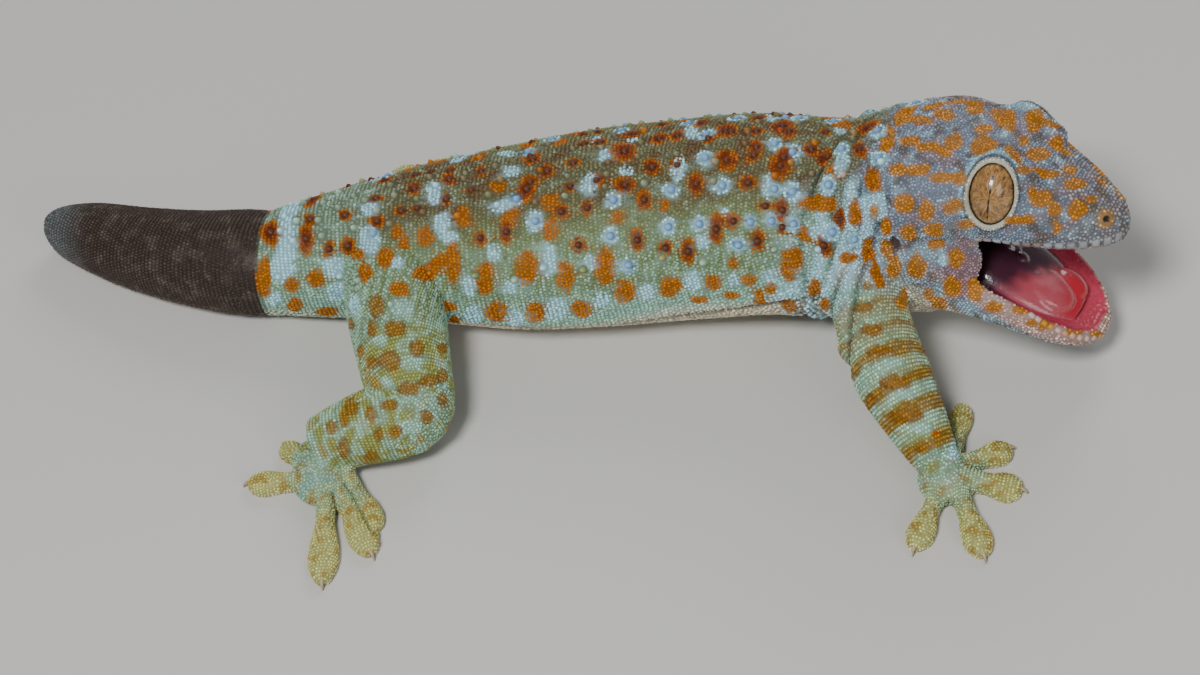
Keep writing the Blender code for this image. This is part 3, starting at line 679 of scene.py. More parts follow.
def on_line(points, line):
    """Share along a line of points with radii, and the distance in radii."""
    best = np.full(len(points), 1e9)
    share = np.zeros(len(points))
    line = np.array(line)
    steps = len(line) - 1
    for k in range(steps):
        start, step = line[k, :3], line[k + 1, :3] - line[k, :3]
        t = np.clip((points - start) @ step / (step @ step), 0.0, 1.0)
        gap = np.linalg.norm(points - start - t[:, None] * step, axis=1)
        gap = gap / (line[k, 3] + (line[k + 1, 3] - line[k, 3]) * t)
        nearer = gap < best
        best = np.where(nearer, gap, best)
        share = np.where(nearer, (k + t) / steps, share)
    return share, best


print("point helpers ready; the trunk curve has", len(trunk_rows), "rows")

# %% [markdown]
# Living skin is not stretched smooth. Loose folds stand upright behind the head, a
# long fold runs low along each flank above the belly, the elbows and knees are
# creased, and a groove parts toes that touch. All are made by moving the skin's points
# along their normals by a function of their place.
# %% Folds of the skin
NECK_FOLDS = (-40.6, -44.6, -48.8, -53.2)
FLANK_FOLD_ANGLE = 108.0
TOE_GROOVE = 0.6


def fold_height(points):
    """How far each point of the skin moves out, in millimetres."""
    local = in_frame(points, head)
    height = np.zeros(len(points))
    loose = smooth(local[:, 2], 11.0, 4.0) * smooth(points[:, 2], 1.0, 5.0)
    loose = loose * smooth(local[:, 0], -56.0, -50.0)
    for k, middle in enumerate(NECK_FOLDS):
        line = middle + 1.1 * np.sin(local[:, 2] * 0.24 + k * 1.7)
        height += loose * (0.85 * np.exp(-((local[:, 0] - line) / 0.95) ** 2)
                           - 0.55 * np.exp(-((local[:, 0] - line - 1.9) / 0.6) ** 2))
    angle, _, width = on_trunk(points)
    run = smooth(points[:, 0], -24.0, -8.0) * smooth(points[:, 0], 44.0, 30.0)
    line = (FLANK_FOLD_ANGLE + 3.0 * np.sin(points[:, 0] * 0.11)
            - 8.0 * smooth(points[:, 0], 0.0, 18.0))
    across = (angle - line) / 57.3 * width
    height += run * (0.7 * np.exp(-(across / 1.5) ** 2)
                     - 0.8 * np.exp(-((across - 2.4) / 0.9) ** 2))
    for leg, line in LEGS.items():
        share, gap = on_line(points, line)
        joint = smooth(np.abs(share - 0.6), 0.14, 0.02) * smooth(gap, 1.5, 1.1)
        height += 0.14 * joint * np.sin(share * 150.0)
        gaps = np.sort([on_line(points, toe_line(toe))[1] for toe in FEET[leg][2]], axis=0)
        height -= (TOE_GROOVE * smooth(gaps[1] - gaps[0], 0.22, 0.05)
                   * smooth(gaps[1], 1.15, 0.95))
    return height


points, normals = mesh_points(skin.data), mesh_points(skin.data, "normal")
dry = ~in_mouth(points, 0.8)
points = points + normals * (fold_height(points) * dry)[:, None]
points[:, 2] = np.maximum(points[:, 2], 0.0)
skin.data.vertices.foreach_set("co", (points * MM).astype(np.float32).ravel())
skin.data.update()
points, normals = mesh_points(skin.data), mesh_points(skin.data, "normal")
surface = BVHTree.FromPolygons([Vector(point) for point in points],
                               [tuple(face.vertices) for face in skin.data.polygons])
print("skin box in mm", points.min(0).round(1), points.max(0).round(1))

# %% [markdown]
# The markings name this animal: orange and rust spots, pale blue ringed spots and
# bars on grey-green. Each spot of the side that the picture shows is given as its
# place and half sizes in the 1200 by 675 picture, and is laid on the skin where the
# line of sight meets it. The other side gets the same kinds, mirrored and shifted.
# %% Spots read from the picture
RUST = [
    (449, 179, 7, 7), (481, 171, 5, 7), (446, 199, 5, 7), (471, 190, 6, 5), (480, 238, 7, 8),
    (506, 232, 6, 13), (530, 156, 9, 8), (530, 182, 9, 8), (547, 171, 8, 7), (573, 163, 8, 6),
    (570, 186, 6, 7), (596, 180, 8, 8), (624, 151, 14, 10), (625, 185, 12, 9), (644, 200, 8, 11),
    (652, 167, 9, 9), (677, 165, 8, 9), (561, 212, 8, 9), (587, 208, 6, 10), (578, 245, 8, 11),
    (637, 240, 8, 12), (665, 248, 8, 9), (708, 138, 7, 6), (731, 132, 7, 5), (726, 160, 12, 11),
    (696, 184, 8, 12), (748, 183, 9, 9), (756, 147, 8, 8), (780, 166, 12, 14), (756, 131, 8, 5),
    (789, 131, 9, 8), (811, 149, 8, 8), (826, 132, 6, 5), (828, 157, 6, 8), (859, 149, 7, 8),
    (688, 251, 8, 14), (716, 229, 8, 17), (733, 221, 8, 9), (765, 206, 8, 6), (782, 210, 8, 14),
    (757, 241, 9, 12), (782, 227, 5, 8), (840, 219, 8, 12), (823, 245, 6, 12), (270, 232, 9, 13),
    (306, 239, 8, 18), (310, 219, 6, 7), (345, 215, 7, 6), (329, 249, 6, 10), (348, 246, 8, 10),
    (377, 221, 8, 8), (401, 211, 7, 5), (417, 208, 6, 4), (414, 188, 8, 7), (376, 198, 8, 4),
    (417, 348, 8, 9), (443, 376, 6, 7), (442, 348, 5, 6), (442, 400, 5, 8), (361, 352, 5, 8),
]
ORANGE = [
    (497, 186, 10, 6), (463, 217, 8, 11), (511, 217, 9, 11), (550, 202, 9, 10), (550, 229, 9, 12),
    (618, 217, 6, 8), (665, 206, 5, 7), (452, 264, 8, 20), (484, 280, 9, 18), (526, 269, 12, 18),
    (565, 278, 9, 17), (605, 266, 10, 20), (496, 312, 11, 10), (535, 313, 10, 10), (581, 309, 11, 8),
    (625, 292, 11, 12), (670, 287, 11, 11), (454, 320, 6, 6), (446, 307, 5, 6), (840, 172, 8, 9),
    (873, 180, 8, 12), (818, 203, 9, 9), (805, 235, 6, 9), (855, 213, 7, 14), (789, 265, 9, 17),
    (733, 264, 5, 7), (713, 282, 9, 8), (749, 280, 8, 7), (731, 295, 8, 4), (700, 299, 8, 4),
    (760, 300, 6, 10), (771, 288, 6, 6), (789, 305, 8, 10), (815, 288, 7, 8), (824, 305, 5, 7),
    (847, 258, 9, 6), (867, 252, 6, 18), (886, 227, 6, 9), (886, 143, 6, 9), (263, 278, 8, 21),
    (358, 254, 7, 6), (292, 285, 8, 8), (316, 278, 9, 10), (295, 305, 8, 7), (327, 312, 11, 6),
    (345, 289, 5, 11), (365, 273, 7, 10), (386, 257, 8, 11), (397, 232, 6, 7), (404, 244, 6, 7),
    (424, 236, 9, 11), (425, 273, 12, 8), (399, 289, 10, 8), (376, 306, 8, 12), (395, 329, 12, 8),
    (351, 324, 6, 7), (372, 329, 5, 8), (389, 361, 11, 10), (372, 363, 6, 7), (407, 389, 12, 6),
    (430, 381, 7, 6), (390, 405, 9, 6), (427, 417, 7, 7), (396, 432, 6, 8), (371, 414, 6, 9),
    (379, 434, 5, 8), (350, 406, 7, 9), (344, 418, 5, 9), (344, 449, 6, 10), (371, 456, 7, 5),
    (331, 427, 5, 8), (865, 307, 9, 5), (872, 330, 12, 6), (879, 350, 15, 5), (896, 382, 17, 7),
    (870, 401, 5, 7), (905, 416, 18, 7), (923, 448, 8, 7), (937, 433, 5, 4), (866, 286, 5, 4),
]
HEAD_ORANGE = [
    (898, 169, 7, 6), (917, 170, 11, 6), (941, 177, 11, 6), (959, 179, 7, 7), (910, 141, 9, 5),
    (930, 147, 12, 5), (944, 152, 7, 5), (889, 136, 6, 11), (884, 147, 5, 5), (919, 120, 12, 5),
    (944, 114, 9, 7), (975, 109, 8, 6), (1004, 118, 10, 9), (1035, 121, 8, 12), (984, 129, 8, 5),
    (1024, 141, 5, 5), (1039, 154, 11, 7), (1057, 143, 6, 7), (1069, 170, 6, 6), (1046, 174, 11, 5),
    (1024, 170, 7, 4), (1075, 184, 10, 6), (904, 203, 8, 10), (926, 212, 6, 12), (953, 207, 9, 8),
    (908, 233, 7, 8), (934, 230, 9, 7), (937, 242, 8, 5), (966, 224, 7, 5), (1019, 220, 13, 5),
    (1041, 198, 9, 9), (1032, 192, 4, 7), (1055, 210, 6, 7), (1056, 227, 4, 7), (1077, 210, 8, 10),
    (1092, 199, 5, 4), (917, 268, 8, 13), (956, 258, 7, 10), (952, 287, 8, 11), (975, 289, 7, 13),
    (904, 298, 7, 11), (929, 294, 5, 6), (894, 267, 6, 11), (887, 249, 5, 11), (1003, 294, 6, 5),
    (994, 307, 7, 5), (1021, 309, 9, 5), (1032, 323, 5, 4), (1047, 322, 6, 7), (1074, 332, 7, 4),
    (1097, 334, 6, 4), (939, 305, 7, 7), (959, 314, 5, 4), (874, 212, 4, 9), (885, 227, 4, 7),
]
PALE = [
    (442, 223, 8, 12), (449, 237, 9, 8), (511, 171, 8, 6), (507, 154, 10, 4), (598, 141, 7, 7),
    (605, 155, 6, 6), (626, 171, 8, 4), (549, 261, 7, 18), (590, 264, 6, 8), (494, 252, 8, 9),
    (469, 286, 7, 11), (511, 287, 7, 6), (473, 316, 9, 9), (515, 318, 8, 8), (556, 310, 11, 11),
    (602, 300, 9, 8), (647, 292, 9, 8), (691, 131, 7, 8), (771, 118, 6, 7), (841, 126, 7, 8),
    (704, 241, 6, 9), (726, 213, 4, 6), (864, 206, 6, 9), (850, 190, 5, 9), (880, 207, 6, 15),
    (815, 232, 5, 6), (693, 281, 8, 11), (733, 281, 6, 6), (771, 276, 8, 8), (286, 239, 10, 26),
    (282, 267, 12, 18), (369, 240, 11, 15), (369, 208, 8, 7), (334, 267, 11, 11), (434, 193, 8, 12),
    (337, 292, 11, 10), (275, 298, 7, 7), (354, 305, 7, 10), (403, 308, 12, 8), (397, 263, 8, 6),
    (358, 309, 5, 12), (400, 308, 10, 10), (379, 341, 7, 6), (412, 363, 12, 8), (387, 382, 6, 6),
    (432, 398, 8, 6), (361, 424, 4, 16), (410, 428, 12, 7), (893, 362, 9, 5), (908, 394, 13, 5),
    (923, 429, 12, 5), (954, 449, 5, 13), (864, 204, 6, 9), (943, 260, 5, 7), (1006, 130, 4, 5),
]
RINGED = [
    (516, 199, 6, 7), (535, 221, 9, 11), (613, 200, 8, 10), (610, 236, 8, 10), (671, 190, 8, 8),
    (668, 227, 8, 10), (628, 265, 7, 9), (705, 158, 8, 8), (722, 186, 9, 9), (774, 144, 7, 7),
    (792, 152, 9, 9), (774, 189, 7, 7), (792, 192, 8, 12), (841, 149, 8, 9), (828, 185, 8, 11),
    (699, 224, 7, 9), (750, 222, 6, 8), (771, 221, 5, 8), (793, 224, 6, 9), (738, 245, 8, 8),
    (832, 232, 8, 10), (854, 239, 7, 8), (878, 158, 8, 8), (877, 131, 8, 9), (373, 234, 6, 6),
]
ARM_BANDS = [(868, 308), (873, 331), (880, 352), (896, 383), (906, 416), (923, 447)]


def seen(px, py):
    """Where the line of sight through a pixel meets the skin, with the normal."""
    place, normal, _, _ = surface.ray_cast(eye_point, sight_line(px, py))
    return place, normal


arm_shares = [on_line(np.array([seen(*band)[0]]), LEGS["front_right"])[0][0]
              for band in ARM_BANDS]


def spot_from_pixel(kind, px, py, half_width, half_height):
    """A spot on the skin with its two half axes, from its place in the picture."""
    place, normal = seen(px, py)
    if place is None:
        return None
    axes = []
    for dx, dy, size in ((1, 0, half_width), (0, 1, half_height)):
        way = sight_line(px + dx * size, py + dy * size)
        facing = way.dot(normal)
        if facing > -0.12:
            return None
        axis = eye_point + way * ((place - eye_point).dot(normal) / facing) - place
        longest = size / PIXELS_PER_MM * 1.9
        axes.append(axis * min(1.0, longest / axis.length))
    return kind, place, axes[0], axes[1], normal


spots = []
for kind, table in (("pale", PALE), ("orange", ORANGE), ("rust", RUST),
                    ("head_orange", HEAD_ORANGE), ("ringed", RINGED)):
    wider = {"head_orange": 1.22, "ringed": 1.15}.get(kind, 1.0)
    spots += [spot for spot in (spot_from_pixel(kind, x, y, wide * wider, tall)
                                for x, y, wide, tall in table) if spot]
seen_spots = len(spots)
for kind, place, first, second, normal in spots[:]:
    local = head.inverted() @ place
    if local.x > -46.0:
        mirrored = Vector((local.x, -local.y, local.z))
        start = head @ Vector((local.x, 0, local.z * 0.5 + 2.0))
        way = (head @ mirrored) - start
        if local.z < -6.0 or way.length < 3.0 or abs(local.y) < 2.5:
            continue
    else:
        centre = np.array([np.interp(place.x, trunk_rows[:, 0], trunk_rows[:, k])
                           for k in (1, 2)])
        if abs(place.y - centre[0]) > 24.0 or abs(place.y - centre[0]) < 3.0:
            continue
        start = Vector((place.x, centre[0], centre[1]))
        way = Vector((random.uniform(-1.2, 1.2), centre[0] - place.y, place.z - centre[1]))
    hit, face_normal, _, _ = surface.ray_cast(start, way.normalized(), way.length * 1.5)
    if hit is None:
        continue
    along = Vector((1, 0, 0)) - face_normal * face_normal.x
    along.normalize()
    spots.append((kind, hit, along * first.length, face_normal.cross(along) * second.length,
                  face_normal))
print("spots:", seen_spots, "seen and", len(spots) - seen_spots, "on the other side")

# %% [markdown]
# One function paints any set of points: the skin's own and, later, the root of every
# scale, so that skin and scales carry the same markings. It lays the ground colours
# of back, flank, belly, head, legs and regrown tail, and then the spots over them.
# Colours are linear red, green and blue, judged from the picture.
# %% Painting the markings
BACK = (0.185, 0.18, 0.105)
FLANK = (0.235, 0.30, 0.15)
LOW_FLANK = (0.34, 0.52, 0.42)
BELLY = (0.74, 0.68, 0.54)
LAVENDER = (0.255, 0.305, 0.375)
CHEEK = (0.36, 0.47, 0.53)
THROAT = (0.66, 0.60, 0.50)
LIP = (0.50, 0.40, 0.34)
LIMB = (0.33, 0.36, 0.14)
TOE = (0.60, 0.60, 0.28)
TAIL_GREY = (0.060, 0.044, 0.036)
TAIL_TIP = (0.13, 0.14, 0.14)
BLUE_WHITE = (0.56, 0.86, 0.97)
BLUE_CORE = (0.16, 0.33, 0.58)
ORANGE_TONE = (0.44, 0.165, 0.018)
HEAD_ORANGE_TONE = (0.53, 0.235, 0.040)
RUST_TONE = (0.25, 0.052, 0.006)
LIMB_ORANGE = (0.33, 0.16, 0.022)
LIMB_PALE = (0.46, 0.70, 0.62)
DARK_CORE = (0.07, 0.022, 0.010)
MOUTH_PINK = (0.42, 0.085, 0.115)
# Painted shade deep in the mouth.
MOUTH_SHADE = (0.020, 0.006, 0.012)
CORE_DARKNESS = 0.75
# Painted shade: the share by which dry skin is darkened where it shows between the scales.
SHADE_BETWEEN_SCALES = 0.45


def mix(first, second, share):
    """Colours, or one plain colour, blended by a share for each point."""
    first = np.asarray(first, dtype=float)
    return first + (np.array(second) - first) * share[:, None]


def speckle(points, size, offset=0.0):
    """Smooth noise from -1 to 1 with features of about the given size."""
    return np.array([noise.noise(Vector(point)) for point in points / size + offset])


def mottled(base, other, points, size, offset, low, high, share):
    """Colours broken up by soft blotches of another."""
    return mix(base, other, smooth(speckle(points, size, offset), low, high) * share)


def ground_colour(points):
    """Colours without the spots, and how wet and shiny each point is."""
    angle = on_trunk(points)[0]
    mottle = speckle(points, 2.6)
    broad = speckle(points, 9.0, 31.0)
    colour = mottled(BACK, (0.15, 0.085, 0.045), points, 3.4, 41.0, -0.05, 0.4, 0.7)
    colour = mix(colour, FLANK, smooth(angle + 8 * broad, 22.0, 52.0))
    colour = mix(colour, LOW_FLANK, smooth(angle + 6 * broad, 72.0, 96.0))
    raised = 9.0 * smooth(points[:, 0], 0.0, 18.0) * smooth(points[:, 0], 50.0, 42.0)
    colour = mix(colour, BELLY, smooth(angle + 3 * mottle + raised, 104.0, 114.0))
    stripe = 0.5 + 0.5 * np.sin(2 * math.pi * (points[:, 0] + 0.05 * angle + broad) / 1.76)
    stripe = stripe * smooth(angle, 38.0, 60.0) * smooth(angle, 112.0, 100.0)
    colour = mix(colour, (0.42, 0.62, 0.56), stripe * 0.55)
    hips = smooth(points[:, 0], -34.0, -46.0) * 0.5
    colour = mix(colour, LOW_FLANK, hips)
    marble = speckle(points, 3.6, 37.0)
    colour = mix(colour, (0.46, 0.66, 0.54), smooth(np.abs(marble), 0.10, 0.02) * (0.25 + hips))

    regrown = smooth(points[:, 0], -61.0, -61.8)
    tail = mix(TAIL_GREY, (0.14, 0.112, 0.095),
               smooth(mottle + 0.5 * speckle(points, 1.1), 0.05, 0.5) * 0.5)
    tail = mix(tail, TAIL_TIP, smooth(points[:, 0], -97.0, -106.0))
    tail = mix(tail, (0.20, 0.17, 0.14), smooth(points[:, 2], 4.5, 1.0) * 0.6)
    colour = mix(colour, tail, regrown)

    limbs = np.zeros(len(points))
    for leg, line in LEGS.items():
        share, gap = on_line(points, line)
        on_leg = smooth(gap, 1.55, 1.2) * smooth(share, 0.24, 0.42)
        leg_colour = mix(LIMB, LOW_FLANK,
                         smooth(mottle + 0.5 * np.sin(share * 46.0), -0.1, 0.5) * 0.75)
        leg_colour = mottled(leg_colour, (0.44, 0.30, 0.10), points, 3.0, 23.0, 0.0, 0.45, 0.6)
        leg_colour = mix(leg_colour, (0.44, 0.66, 0.54),
                         smooth(np.abs(marble), 0.15, 0.03) * 0.75)
        if leg == "front_right":
            for band in arm_shares:
                near = np.abs(share + 0.016 * mottle - band)
                leg_colour = mix(leg_colour, (0.46, 0.66, 0.52),
                                 smooth(np.abs(near - 0.066), 0.036, 0.01) * 0.45)
                leg_colour = mix(leg_colour, LIMB_ORANGE,
                                 smooth(near + 0.012 * broad, 0.040, 0.016) * 0.75)
        elif leg != "hind_right":
            bars = smooth(np.sin(share * 34.0 + mottle), 0.35, 0.75)
            leg_colour = mix(leg_colour, LIMB_ORANGE, bars * 0.8)
        colour = mix(colour, leg_colour, on_leg * (1 - limbs))
        limbs = np.maximum(limbs, on_leg)
        (x, y), _, toes = FEET[leg]
        reach = np.hypot(points[:, 0] - x, points[:, 1] - y)
        foot = smooth(reach, 27.0, 25.5) * smooth(points[:, 2], 8.0, 4.5)
        for toe_measures in toes:
            share, gap = on_line(points, toe_line(toe_measures))
            toe = smooth(gap, 1.6, 1.25) * foot
            limbs = np.maximum(limbs, toe)
            toe_colour = mix(TOE, (0.40, 0.56, 0.40),
                             smooth(share + 0.2 * mottle, 0.35, 0.0) * 0.8)
            toe_colour = mottled(toe_colour, (0.42, 0.24, 0.05), points, 1.5, 29.0,
                                 0.08, 0.4, 0.6)
            toe_colour = mix(toe_colour, (0.72, 0.68, 0.42),
                             smooth(points[:, 2], 1.3, 0.5) * 0.6)
            colour = mix(colour, toe_colour, toe)
    local = in_frame(points, head)
    on_head = (smooth(local[:, 0] + 1.5 * mottle, -47.0, -42.0)
               * smooth(np.abs(local[:, 1]), 21.0, 19.0))
    face = mix(LAVENDER, CHEEK, smooth(local[:, 2] + 2.0 * mottle, 4.0, -3.0))
    for other, size, offset, low, high, share in (
            ((0.46, 0.58, 0.66), 1.7, 11.0, 0.06, 0.38, 0.75),
            ((0.36, 0.27, 0.30), 2.4, 53.0, 0.08, 0.4, 0.6),
            ((0.15, 0.115, 0.085), 2.1, 17.0, 0.05, 0.42, 0.7)):
        face = mottled(face, other, points, size, offset, low, high, share)
    face = mix(face, (0.26, 0.20, 0.14), smooth(local[:, 0] + 3.0 * mottle, -16.0, -5.0) * 0.35)
    chin = in_frame(points, jaw)
    face = mix(face, THROAT, smooth(chin[:, 2], -3.5, -7.5) * smooth(local[:, 2], -2.0, -6.0))
    edge = smooth(np.abs(local[:, 2] - 0.2), 1.5, 0.6) * smooth(local[:, 0], -27.0, -24.0)
    edge = edge * smooth(chin[:, 0], 60.0, 12.0)
    face = mix(face, LIP, edge * 0.75)
    rim = (smooth(chin[:, 2], -2.2, -1.0) * smooth(chin[:, 0], 9.0, 14.0)
           * smooth(local[:, 2], -1.5, -3.0))
    face = mix(face, (0.66, 0.46, 0.40), rim * 0.8)
    corner = np.linalg.norm((local - [-24.6, 0.0, -5.0]) * [0.30, 0.0, 0.155], axis=1)
    corner = smooth(corner + 0.15 * mottle, 1.15, 0.75) * smooth(np.abs(local[:, 1]), 7.0, 9.0)
    face = mix(face, (0.27, 0.19, 0.235), corner * 0.8)
    colour = mix(colour, face, on_head * (1 - limbs))
    relief = fold_height(points)
    neck = smooth(local[:, 0], -37.0, -40.0) * smooth(local[:, 0], -57.0, -54.0) * (1 - limbs)
    colour = mix(colour, BLUE_WHITE, (0.25 + 0.55 * smooth(relief, 0.1, 0.45)) * neck
                 * smooth(angle, 20.0, 50.0))
    # Painted shade: the skin is darkened where it dips into a groove, between the neck folds, under
    # the flank fold, in the joint creases and between touching toes.
    colour = colour * (1.0 - 0.55 * smooth(relief, -0.08, -0.4))[:, None]
    for turn in (-1, 1):
        gaze = in_frame(points, eye_frame(turn))
        ring = np.hypot(gaze[:, 1], gaze[:, 2])
        front = smooth(gaze[:, 0], 0.5, 1.5)
        colour = mix(colour, (0.82, 0.81, 0.68), smooth(ring, 6.15, 5.9) * front)
        colour = mix(colour, (0.05, 0.055, 0.06),
                     np.exp(-((ring - 6.28) / 0.2) ** 2) * front * 0.8)
        second = (np.exp(-((ring - 6.95) / 0.4) ** 2) * front
                  * smooth(gaze[:, 2] - gaze[:, 1] * 0.7, -3.0, 1.0))
        colour = mix(colour, BLUE_WHITE, second * 0.8)

    wet = in_mouth(points).astype(float)
    # The wet lining is pink at the front and darkened towards the throat as painted shade.
    on_floor = (chin[:, 0] > 8.0) & (chin[:, 2] < 3.4)
    throat_shade = np.where(on_floor, smooth(chin[:, 0], 27.0, 18.0), smooth(local[:, 0], -8.0, -15.0))
    lining = mix(MOUTH_PINK, MOUTH_SHADE, throat_shade)
    return mix(colour, lining, wet), wet


def add_spots(colour, points, normals):
    """Lay every spot over the colours."""
    rough_edge = 0.24 * speckle(points, 1.5, 7.0)
    for kind, place, first, second, normal in spots:
        offset = points - np.array(place)
        reach = 1.5 * max(first.length, second.length)
        near = np.flatnonzero((offset ** 2).sum(1) < reach * reach)
        if not len(near):
            continue
        near = near[normals[near] @ np.array(normal) > 0.15]
        basis = np.array([first, second, normal]).T
        local = offset[near] @ np.linalg.inv(basis).T
        size = np.sqrt(local[:, 0] ** 2 + local[:, 1] ** 2)
        edge = smooth(size + rough_edge[near], 1.14, 0.86)
        on_limb = place.y < -18.0 and place.x < 62.0
        if kind == "ringed":
            tone = mix(BLUE_WHITE, BLUE_CORE, smooth(size, 0.42, 0.25))
            tone = mix(tone, (0.13, 0.19, 0.20), smooth(size, 0.84, 1.02) * 0.7)
        elif kind == "pale":
            tone = LIMB_PALE if on_limb else BLUE_WHITE
            edge = edge * (0.6 if on_limb else 0.85)
        elif on_limb:
            tone = mix(LIMB_ORANGE, (0.15, 0.055, 0.010), smooth(size, 0.55, 0.95) * 0.6)
            edge = edge * 0.85
        elif kind == "rust":
            tone = mix(ORANGE_TONE, RUST_TONE, smooth(size, 1.0, 0.5))
            tone = mix(tone, DARK_CORE, smooth(size, 0.5, 0.15) * CORE_DARKNESS)
        elif kind == "head_orange":
            tone = HEAD_ORANGE_TONE
            edge = edge * 0.92
        else:
            tone = ORANGE_TONE
        colour[near] = mix(colour[near], tone, edge * 0.96)
    return colour


def painted(points, normals):
    """The finished colours of a set of points, and how wet each is."""
    ground, wet = ground_colour(points)
    colour = mix(add_spots(ground.copy(), points, normals), ground, wet)
    local = in_frame(points, head)
    for turn in (-1, 1):
        ear = np.linalg.norm((local - on_side(EAR, turn)) / [0.9, 2.2, 2.6], axis=1)
        hole = np.linalg.norm(in_frame(points, nostril_frame(turn)), axis=1)
        # Painted shade: the ear openings and the nostril holes are darkened in their hollows; a
        # golden ring is painted round each nostril.
        colour = mix(colour, (0.12, 0.085, 0.080), smooth(ear, 1.0, 0.75) * 0.9)
        colour = mix(colour, (0.60, 0.34, 0.10),
                     smooth(hole + 0.5 * speckle(points, 0.9), 2.0, 1.2) * 0.7)
        colour = mix(colour, (0.020, 0.012, 0.012), smooth(hole, 0.75, 0.5))
    grey = colour.mean(1)[:, None]
    return (grey + (colour - grey) * 1.22).clip(0.002, 1.0) ** 1.06, wet


def store_colour(mesh, colour, wet):
    """Keep colours and wetness on a mesh's points for its material."""
    tint = mesh.attributes.new("tint", "FLOAT_COLOR", "POINT")
    flat = np.ones((len(colour), 4), dtype=np.float32)
    flat[:, :3] = np.clip(colour, 0.0, 1.0)
    tint.data.foreach_set("color", flat.ravel())
    shine = mesh.attributes.new("wet", "FLOAT", "POINT")
    shine.data.foreach_set("value", wet.astype(np.float32))


skin_colour, skin_wet = painted(points, normals)
# The dry skin is darkened as painted shade in the gaps between the scales; the wet mouth lining is
# not.
store_colour(skin.data, skin_colour * (1 - SHADE_BETWEEN_SCALES * (1 - skin_wet))[:, None], skin_wet)
shade_smooth(skin)
print("mouth lining:", int(skin_wet.sum()), "of", len(points), "points")

# %% [markdown]
# The skin's material reads those painted colours. On top of them come a fine grain
# and a bump at the scale of the smallest granules, and the wet lining of the mouth
# turns the roughness down, so that it glistens as the real one does.
# %% The skin's material


def node(tree, kind, **values):
    """A shader node with its plain settings and socket values."""
    made = tree.nodes.new(kind)
    for name, value in values.items():
        if name in made.inputs:
            made.inputs[name].default_value = value
        else:
            setattr(made, name, value)
    return made


def skin_material(name, grain_scale, bump, wet_shine=True, roughness=0.52):
    """Painted colour with a fine grain, and a bump at the scale of granules."""
    made, tree, shader = new_paint(name)
    tint = node(tree, "ShaderNodeAttribute", attribute_name="tint")
    place = node(tree, "ShaderNodeTexCoord")
    grain = node(tree, "ShaderNodeTexNoise", Scale=grain_scale, Detail=3.0)
    tree.links.new(place.outputs["Object"], grain.inputs["Vector"])
    vary = node(tree, "ShaderNodeMapRange")
    set_sockets(vary, {"To Min": 0.72, "To Max": 1.28})
    tree.links.new(grain.outputs["Fac"], vary.inputs["Value"])
    shade = node(tree, "ShaderNodeVectorMath", operation="SCALE")
    tree.links.new(tint.outputs["Color"], shade.inputs[0])
    tree.links.new(vary.outputs["Result"], shade.inputs["Scale"])
    tree.links.new(shade.outputs["Vector"], shader.inputs["Base Color"])
    if wet_shine:
        wet = node(tree, "ShaderNodeAttribute", attribute_name="wet")
        gloss = node(tree, "ShaderNodeMapRange")
        set_sockets(gloss, {"To Min": roughness, "To Max": 0.18})
        tree.links.new(wet.outputs["Fac"], gloss.inputs["Value"])
        tree.links.new(gloss.outputs["Result"], shader.inputs["Roughness"])
    else:
        shader.inputs["Roughness"].default_value = roughness
    if bump:
        cells = node(tree, "ShaderNodeTexVoronoi", Scale=grain_scale * 1.1)
        tree.links.new(place.outputs["Object"], cells.inputs["Vector"])
        relief = node(tree, "ShaderNodeBump", Strength=bump, Distance=0.0002)
        relief.invert = True
        tree.links.new(cells.outputs["Distance"], relief.inputs["Height"])
        tree.links.new(relief.outputs["Normal"], shader.inputs["Normal"])
    set_sockets(shader, {"Specular IOR Level": 0.28, "Subsurface Weight": 0.05,
                         "Subsurface Radius": (0.0012, 0.0007, 0.0005), "Subsurface Scale": 1.0})
    return made


skin.data.materials.append(skin_material("granular_skin", 1400.0, 0.5))
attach(skin, "root")
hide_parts("head", "lower_jaw", "neck", "torso", "tail_base", "tail_regrown",
            "front_right_upper_arm", "front_right_forearm", "front_right_foot",
            "front_left_upper_arm", "front_left_forearm", "front_left_foot",
            "hind_right_thigh", "hind_right_shank", "hind_right_foot", "hind_left_leg")
print("skin painted and placed")

# %% [markdown]
# Every scale needs a root. Rays go out from the middle line of the trunk, the head,
# the jaw, each leg and each toe, and meet the skin in rings, each ring turned half a
# step from the last, as the granules of a gecko lie. What these rows leave bare, at
# the shoulders, the snout and the folds, is filled with scattered roots. A grid of
# small cells keeps any two roots apart by the local size of the scales.
# %% Roots of the scales
CELL = 1.3
SCATTERED_TRIES = 300000
taken = {}


def free_place(point, reach):
    """True where no root stands within reach, and then the place is taken."""
    key = tuple(int(math.floor(value / CELL)) for value in point)
    for dx in (-1, 0, 1):
        for dy in (-1, 0, 1):
            for dz in (-1, 0, 1):
                near = (key[0] + dx, key[1] + dy, key[2] + dz)
                for other, other_reach in taken.get(near, ()):
                    limit = min(CELL, (reach + other_reach) / 2)
                    if (point - other).length_squared < limit * limit:
                        return False
    taken.setdefault(key, []).append((point, reach))
    return True


